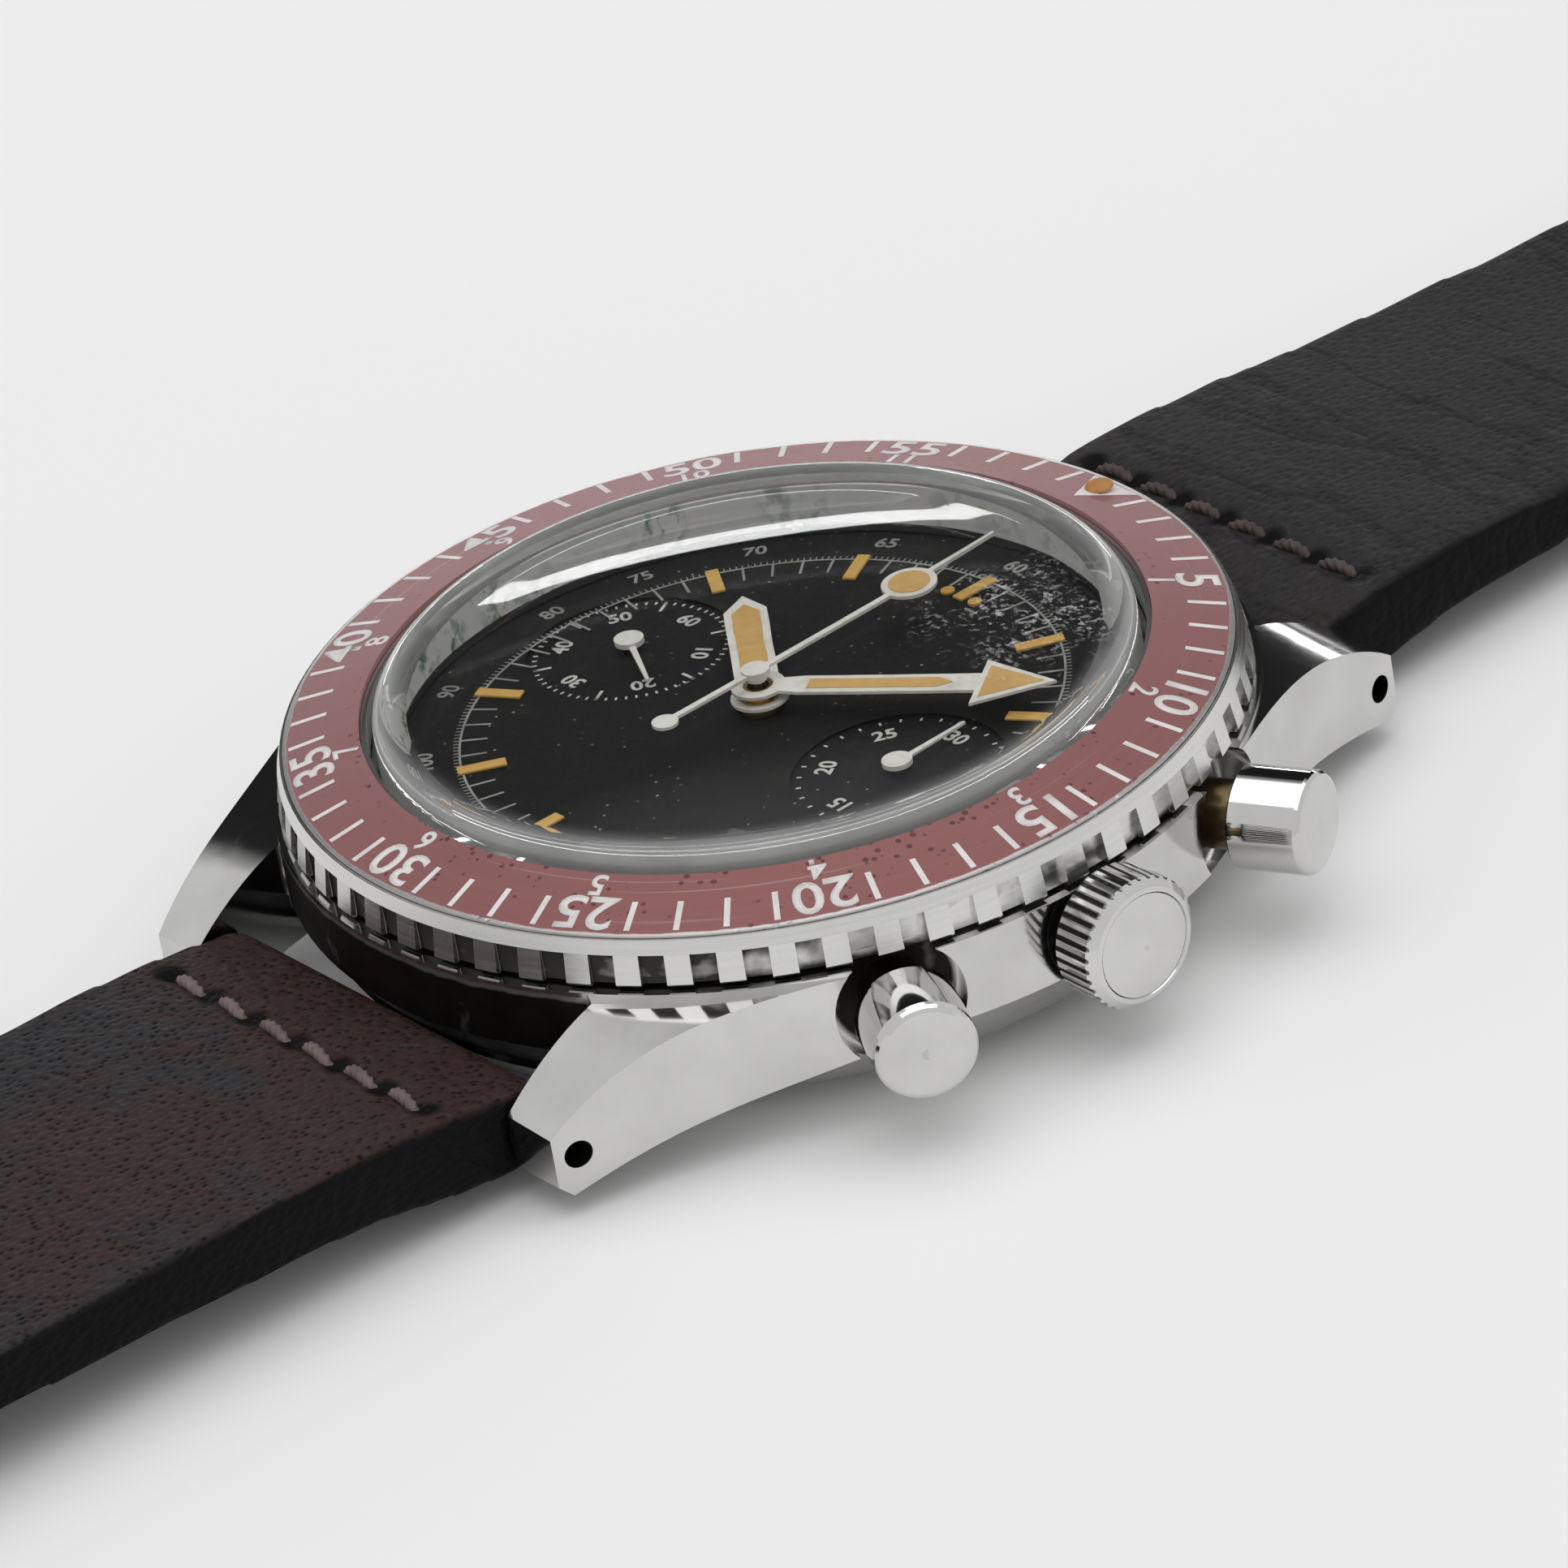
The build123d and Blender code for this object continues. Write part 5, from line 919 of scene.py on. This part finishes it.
def seal_rubber():
    """Black rubber with a dull bloom."""
    material, shader, at = new_material("seal_rubber")
    bloom = at.noise(500.0, 4.0)
    feed(
        material, shader,
        Base_Color=bloom.blend((0.012, 0.012, 0.012, 1.0), (0.04, 0.04, 0.038, 1.0)),
        Roughness=0.6 + bloom * 0.2,
    )
    return material


slot_finish = {"gilt_brass": gilt, "plain_steel": ground_steel, "rubber": seal_rubber()}
for sub_part in frame["record"]["subparts"]:
    if sub_part["material_slot"] in slot_finish and sub_part["node"] not in ("pusher_tubes", "crown_tube"):
        paint(slot_finish[sub_part["material_slot"]], nodes[sub_part["node"]])
# the spring bars' pins are painted near black as painted shade, so the lug holes read dark
painted_shade_pin_steel = polished_steel("painted_shade_pin_steel", (0.035, 0.032, 0.030, 1.0), 0.5, 0.6)
paint(painted_shade_pin_steel, nodes["spring_bar_pin_12"], nodes["spring_bar_pin_6"])


# ---------------------------------------------------------------- strap halves
# Each half is thick leather, folded round its spring bar and stitched down behind it.
# The long half, on the 6 side, has kept its pebbled grain and gone brown by the lugs;
# the short half is worn smoother and creased. The cut edges are burnished black.

LEATHER_VOXEL = 0.3 * MM
STITCH_ROW_Y = 24.6 * MM
STITCH_ROW_X = 8.2 * MM
STITCH_PITCH = 2.75 * MM


def leather_form(name, node):
    """A leather piece from its plain solid, with its edges rounded over."""
    piece = bpy.data.objects.new(name, nodes[node].data.copy())
    bpy.context.scene.collection.objects.link(piece)
    deselect_all()
    piece.select_set(True)
    bpy.context.view_layer.objects.active = piece
    bpy.ops.object.mode_set(mode="EDIT")
    bpy.ops.mesh.select_all(action="SELECT")
    bpy.ops.mesh.remove_doubles(threshold=0.002 * MM)
    bpy.ops.object.mode_set(mode="OBJECT")
    skin = piece.modifiers.new("skin", "REMESH")
    skin.mode = "VOXEL"
    skin.voxel_size = LEATHER_VOXEL
    skin.use_smooth_shade = True
    bpy.ops.object.modifier_apply(modifier=skin.name)
    rounding = piece.modifiers.new("rounding", "SMOOTH")
    rounding.factor = 0.5
    rounding.iterations = 5
    bpy.ops.object.modifier_apply(modifier=rounding.name)
    return piece


def work_leather(piece, waviness):
    """Press in the stitch row, crease and soften the faces, and mark the cut edges."""
    cut = piece.data.attributes.new("cut_edge", "FLOAT", "POINT")
    moves = []
    for corner in piece.data.vertices:
        x, y, z = corner.co
        cut.data[corner.index].value = min(max((abs(corner.normal.x) - 0.4) / 0.35, 0.0), 1.0)
        off_row = (abs(y) - STITCH_ROW_Y) / (0.55 * MM)
        row = exp(-off_row * off_row) * (abs(x) < STITCH_ROW_X) * (corner.normal.z > 0.3)
        slow = noise.noise(Vector((x, y * 0.6, 0.0)) * 110.0)
        quick = noise.noise(Vector((x * 0.5, y, z)) * 420.0)
        # the folded end stays clear of the lugs and the spring bar
        free = min(max((abs(y) - 23.4 * MM) / (4.0 * MM), 0.0), 1.0) * (1.0 - cut.data[corner.index].value)
        move = waviness * free * (slow * 0.17 + quick * 0.045) * MM - row * 0.22 * MM
        moves.append(corner.normal * move)
    for corner, move in zip(piece.data.vertices, moves):
        corner.co += move
        corner.co.z = max(corner.co.z, 0.0)
    piece.data.shade_smooth()


def leather(name, face, patch_colour, fold_colour, patches, pores, creases, shine):
    """Dyed leather: pores, creases, patches where the dye has gone, burnished edges."""
    material, shader, at = new_material(name)
    x, y, z = at.place()
    off_y = at.maths("ABSOLUTE", y)
    cloud = at.noise(95.0, 5.0)
    mottle = at.noise(620.0, 5.0, roughness=0.65)
    fibre = at.noise(3000.0, 3.0)
    pebble = at.cells(3100.0, (1.0, 0.72, 1.0))
    pore = (1.0 - pebble.steps(0.12, 0.40)) * pores
    crease = at.noise(170.0, 3.0, (0.35, 1.5, 1.0))
    crease = (1.0 - at.maths("ABSOLUTE", crease - 0.5).steps(0.0, 0.05)) * creases
    edge = at.node("Attribute", {"attribute_name": "cut_edge"}, output=2)
    from_hole = (at.maths("PINGPONG", x, STITCH_PITCH / 2) ** 2.0 + (off_y - STITCH_ROW_Y) ** 2.0) ** 0.5
    hole = (1.0 - from_hole.steps(0.42 * MM, 0.80 * MM)) * z.steps(2.0 * MM, 2.5 * MM)
    fold = (1.0 - off_y.steps(22.5 * MM, 28.5 * MM)) * patches
    worn = ((cloud * 0.9 + mottle * 0.5).steps(0.66, 0.86) * patches + fold * 0.75).steps(0.0, 1.0)
    tint = worn.blend(face, patch_colour)
    tint = (fold * mottle.steps(0.35, 0.7)).blend(tint, fold_colour)
    tint = (pore * 0.9 + crease * 0.35).steps(0.0, 1.0).blend(tint, (0.004, 0.0035, 0.0035, 1.0))
    tint = (fibre.steps(0.5, 0.8) * 0.18).blend(tint, (0.11, 0.095, 0.09, 1.0))
    crack = at.noise(900.0, 4.0, (1.0, 0.2, 1.0)).steps(0.64, 0.72)
    tint = edge.maths("MAXIMUM", edge, hole).blend(tint, (0.005, 0.0048, 0.0048, 1.0))
    height = pebble * (pores * 1.25e-4) + mottle * 4.0e-5 + fibre * 8.0e-6
    height = height - crease * 4.5e-5 - edge * crack * 5.0e-5 - hole * 1.2e-4
    feed(
        material, shader,
        Base_Color=tint,
        Roughness=shine + mottle * 0.22 + pore * 0.2 - edge * 0.08,
        Specular_IOR_Level=0.06,
        Normal=at.bump(height, 1.0),
    )
    return material


long_leather = leather(
    "long_leather", (0.030, 0.029, 0.032, 1.0), (0.044, 0.027, 0.026, 1.0), (0.038, 0.019, 0.015, 1.0),
    patches=1.0, pores=1.0, creases=0.1, shine=0.50,
)
short_leather = leather(
    "short_leather", (0.026, 0.026, 0.026, 1.0), (0.036, 0.034, 0.034, 1.0), (0.038, 0.029, 0.030, 1.0),
    patches=0.5, pores=0.35, creases=0.8, shine=0.46,
)
for half, finish, waviness in (("12", short_leather, 1.3), ("6", long_leather, 1.0)):
    strap = leather_form(f"strap_leather_{half}", f"strap_{half}")
    work_leather(strap, waviness)
    paint(finish, strap)
    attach(strap, f"strap_{half}")
    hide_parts(f"strap_{half}")


# ---------------------------------------------------------------- stitches
# Waxed mauve-brown thread of three plies, six thick stitches across each half behind
# the spring bar. Each one arches out of one hole and down into the next.

THREAD_R = 0.28 * MM
STITCH_LENGTH = 2.05 * MM
STITCH_COUNT = 6
STITCH_RISE = 0.14 * MM
ARCH_R = 1.35 * MM
ARCH_STEPS = 28
THREAD_SIDES = 18
PLIES = 3
PLY_TWIST = 1.5


def thread(name, colour, dark):
    """Waxed thread with dirt between its plies."""
    material, shader, at = new_material(name)
    grain = at.noise(2600.0, 4.0)
    dirt = at.noise(700.0, 3.0)
    feed(
        material, shader,
        Base_Color=dirt.steps(0.35, 0.75).blend(colour, dark),
        Roughness=0.55 + grain * 0.25,
        Normal=at.bump(grain * 2.0e-5, 1.0),
    )
    return material


def one_stitch():
    """One arched stitch of twisted thread along X, its crown at the origin."""
    half_turn = STITCH_LENGTH / (2 * ARCH_R)
    deselect_all()
    bpy.ops.mesh.primitive_circle_add(vertices=THREAD_SIDES, radius=THREAD_R, rotation=(0, pi / 2, 0))
    piece = bpy.context.object
    bpy.ops.object.transform_apply(rotation=True)
    piece.data.transform(Matrix.Translation((0, 0, ARCH_R)))
    piece.data.transform(Matrix.Rotation(-half_turn, 4, "Y"))
    bpy.ops.object.mode_set(mode="EDIT")
    bpy.ops.mesh.select_all(action="SELECT")
    bpy.ops.mesh.spin(steps=ARCH_STEPS, angle=-2 * half_turn, center=(0, 0, 0), axis=(0, 1, 0))
    bpy.ops.mesh.select_all(action="SELECT")
    bpy.ops.mesh.fill_holes(sides=0)
    bpy.ops.mesh.normals_make_consistent(inside=False)
    bpy.ops.object.mode_set(mode="OBJECT")
    for corner in piece.data.vertices:
        x, y, z = corner.co
        along = atan2(x, z)
        out = hypot(x, z) - ARCH_R
        round_thread = atan2(y, out) + along * ARCH_R / THREAD_R * PLY_TWIST
        thick = (0.88 + 0.17 * cos(PLIES * round_thread)) * (1.0 - 0.12 * (along / half_turn) ** 2)
        reach = ARCH_R + out * thick
        corner.co = (reach * sin(along), y * thick, reach * cos(along) - ARCH_R)
    piece.data.shade_smooth()
    return piece


threads = {
    "12": thread("dark_thread", (0.070, 0.046, 0.043, 1.0), (0.030, 0.019, 0.018, 1.0)),
    "6": thread("mauve_thread", (0.160, 0.118, 0.115, 1.0), (0.075, 0.048, 0.046, 1.0)),
}
for side, half in ((1, "12"), (-1, "6")):
    stitched = bpy.data.objects[f"strap_leather_{half}"]
    tops = [
        corner.co.z for corner in stitched.data.vertices
        if abs(corner.co.y - side * STITCH_ROW_Y) < 0.3 * MM and abs(corner.co.x) < STITCH_ROW_X
    ]
    row_z = max(tops)
    first = one_stitch()
    stitches = []
    for index in range(STITCH_COUNT):
        stitch = first.copy()
        stitch.data = first.data.copy()
        bpy.context.scene.collection.objects.link(stitch)
        across = (index - (STITCH_COUNT - 1) / 2) * STITCH_PITCH
        slant = Matrix.Rotation(side * radians(7.0 + 3.0 * (index % 2)), 4, "Z")
        stitch.data.transform(Matrix.Translation((across, side * STITCH_ROW_Y, row_z + STITCH_RISE)) @ slant)
        stitches.append(stitch)
    bpy.data.objects.remove(first)
    stitches = join(stitches, f"stitches_{half}")
    paint(threads[half], stitches)
    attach(stitches, f"strap_{half}")


# ---------------------------------------------------------------- keepers
# Two loops of the same leather, glued and pressed flat: one sewn to the short half
# by the buckle, and one that slides along it.

for name, body in (("fixed_keeper", "strap_12"), ("free_keeper", "free_keeper")):
    loop = leather_form(f"{name}_leather", name)
    work_leather(loop, 0.4)
    paint(short_leather, loop)
    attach(loop, body)
    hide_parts(name)


# ---------------------------------------------------------------- buckle
# A plain steel pin buckle, polished, with scratches from the table top.

buckle_steel = polished_steel("buckle_steel", STEEL, 0.13, 1.4)
paint(buckle_steel, nodes["buckle_frame"], nodes["buckle_bar"], nodes["buckle_tongue"])
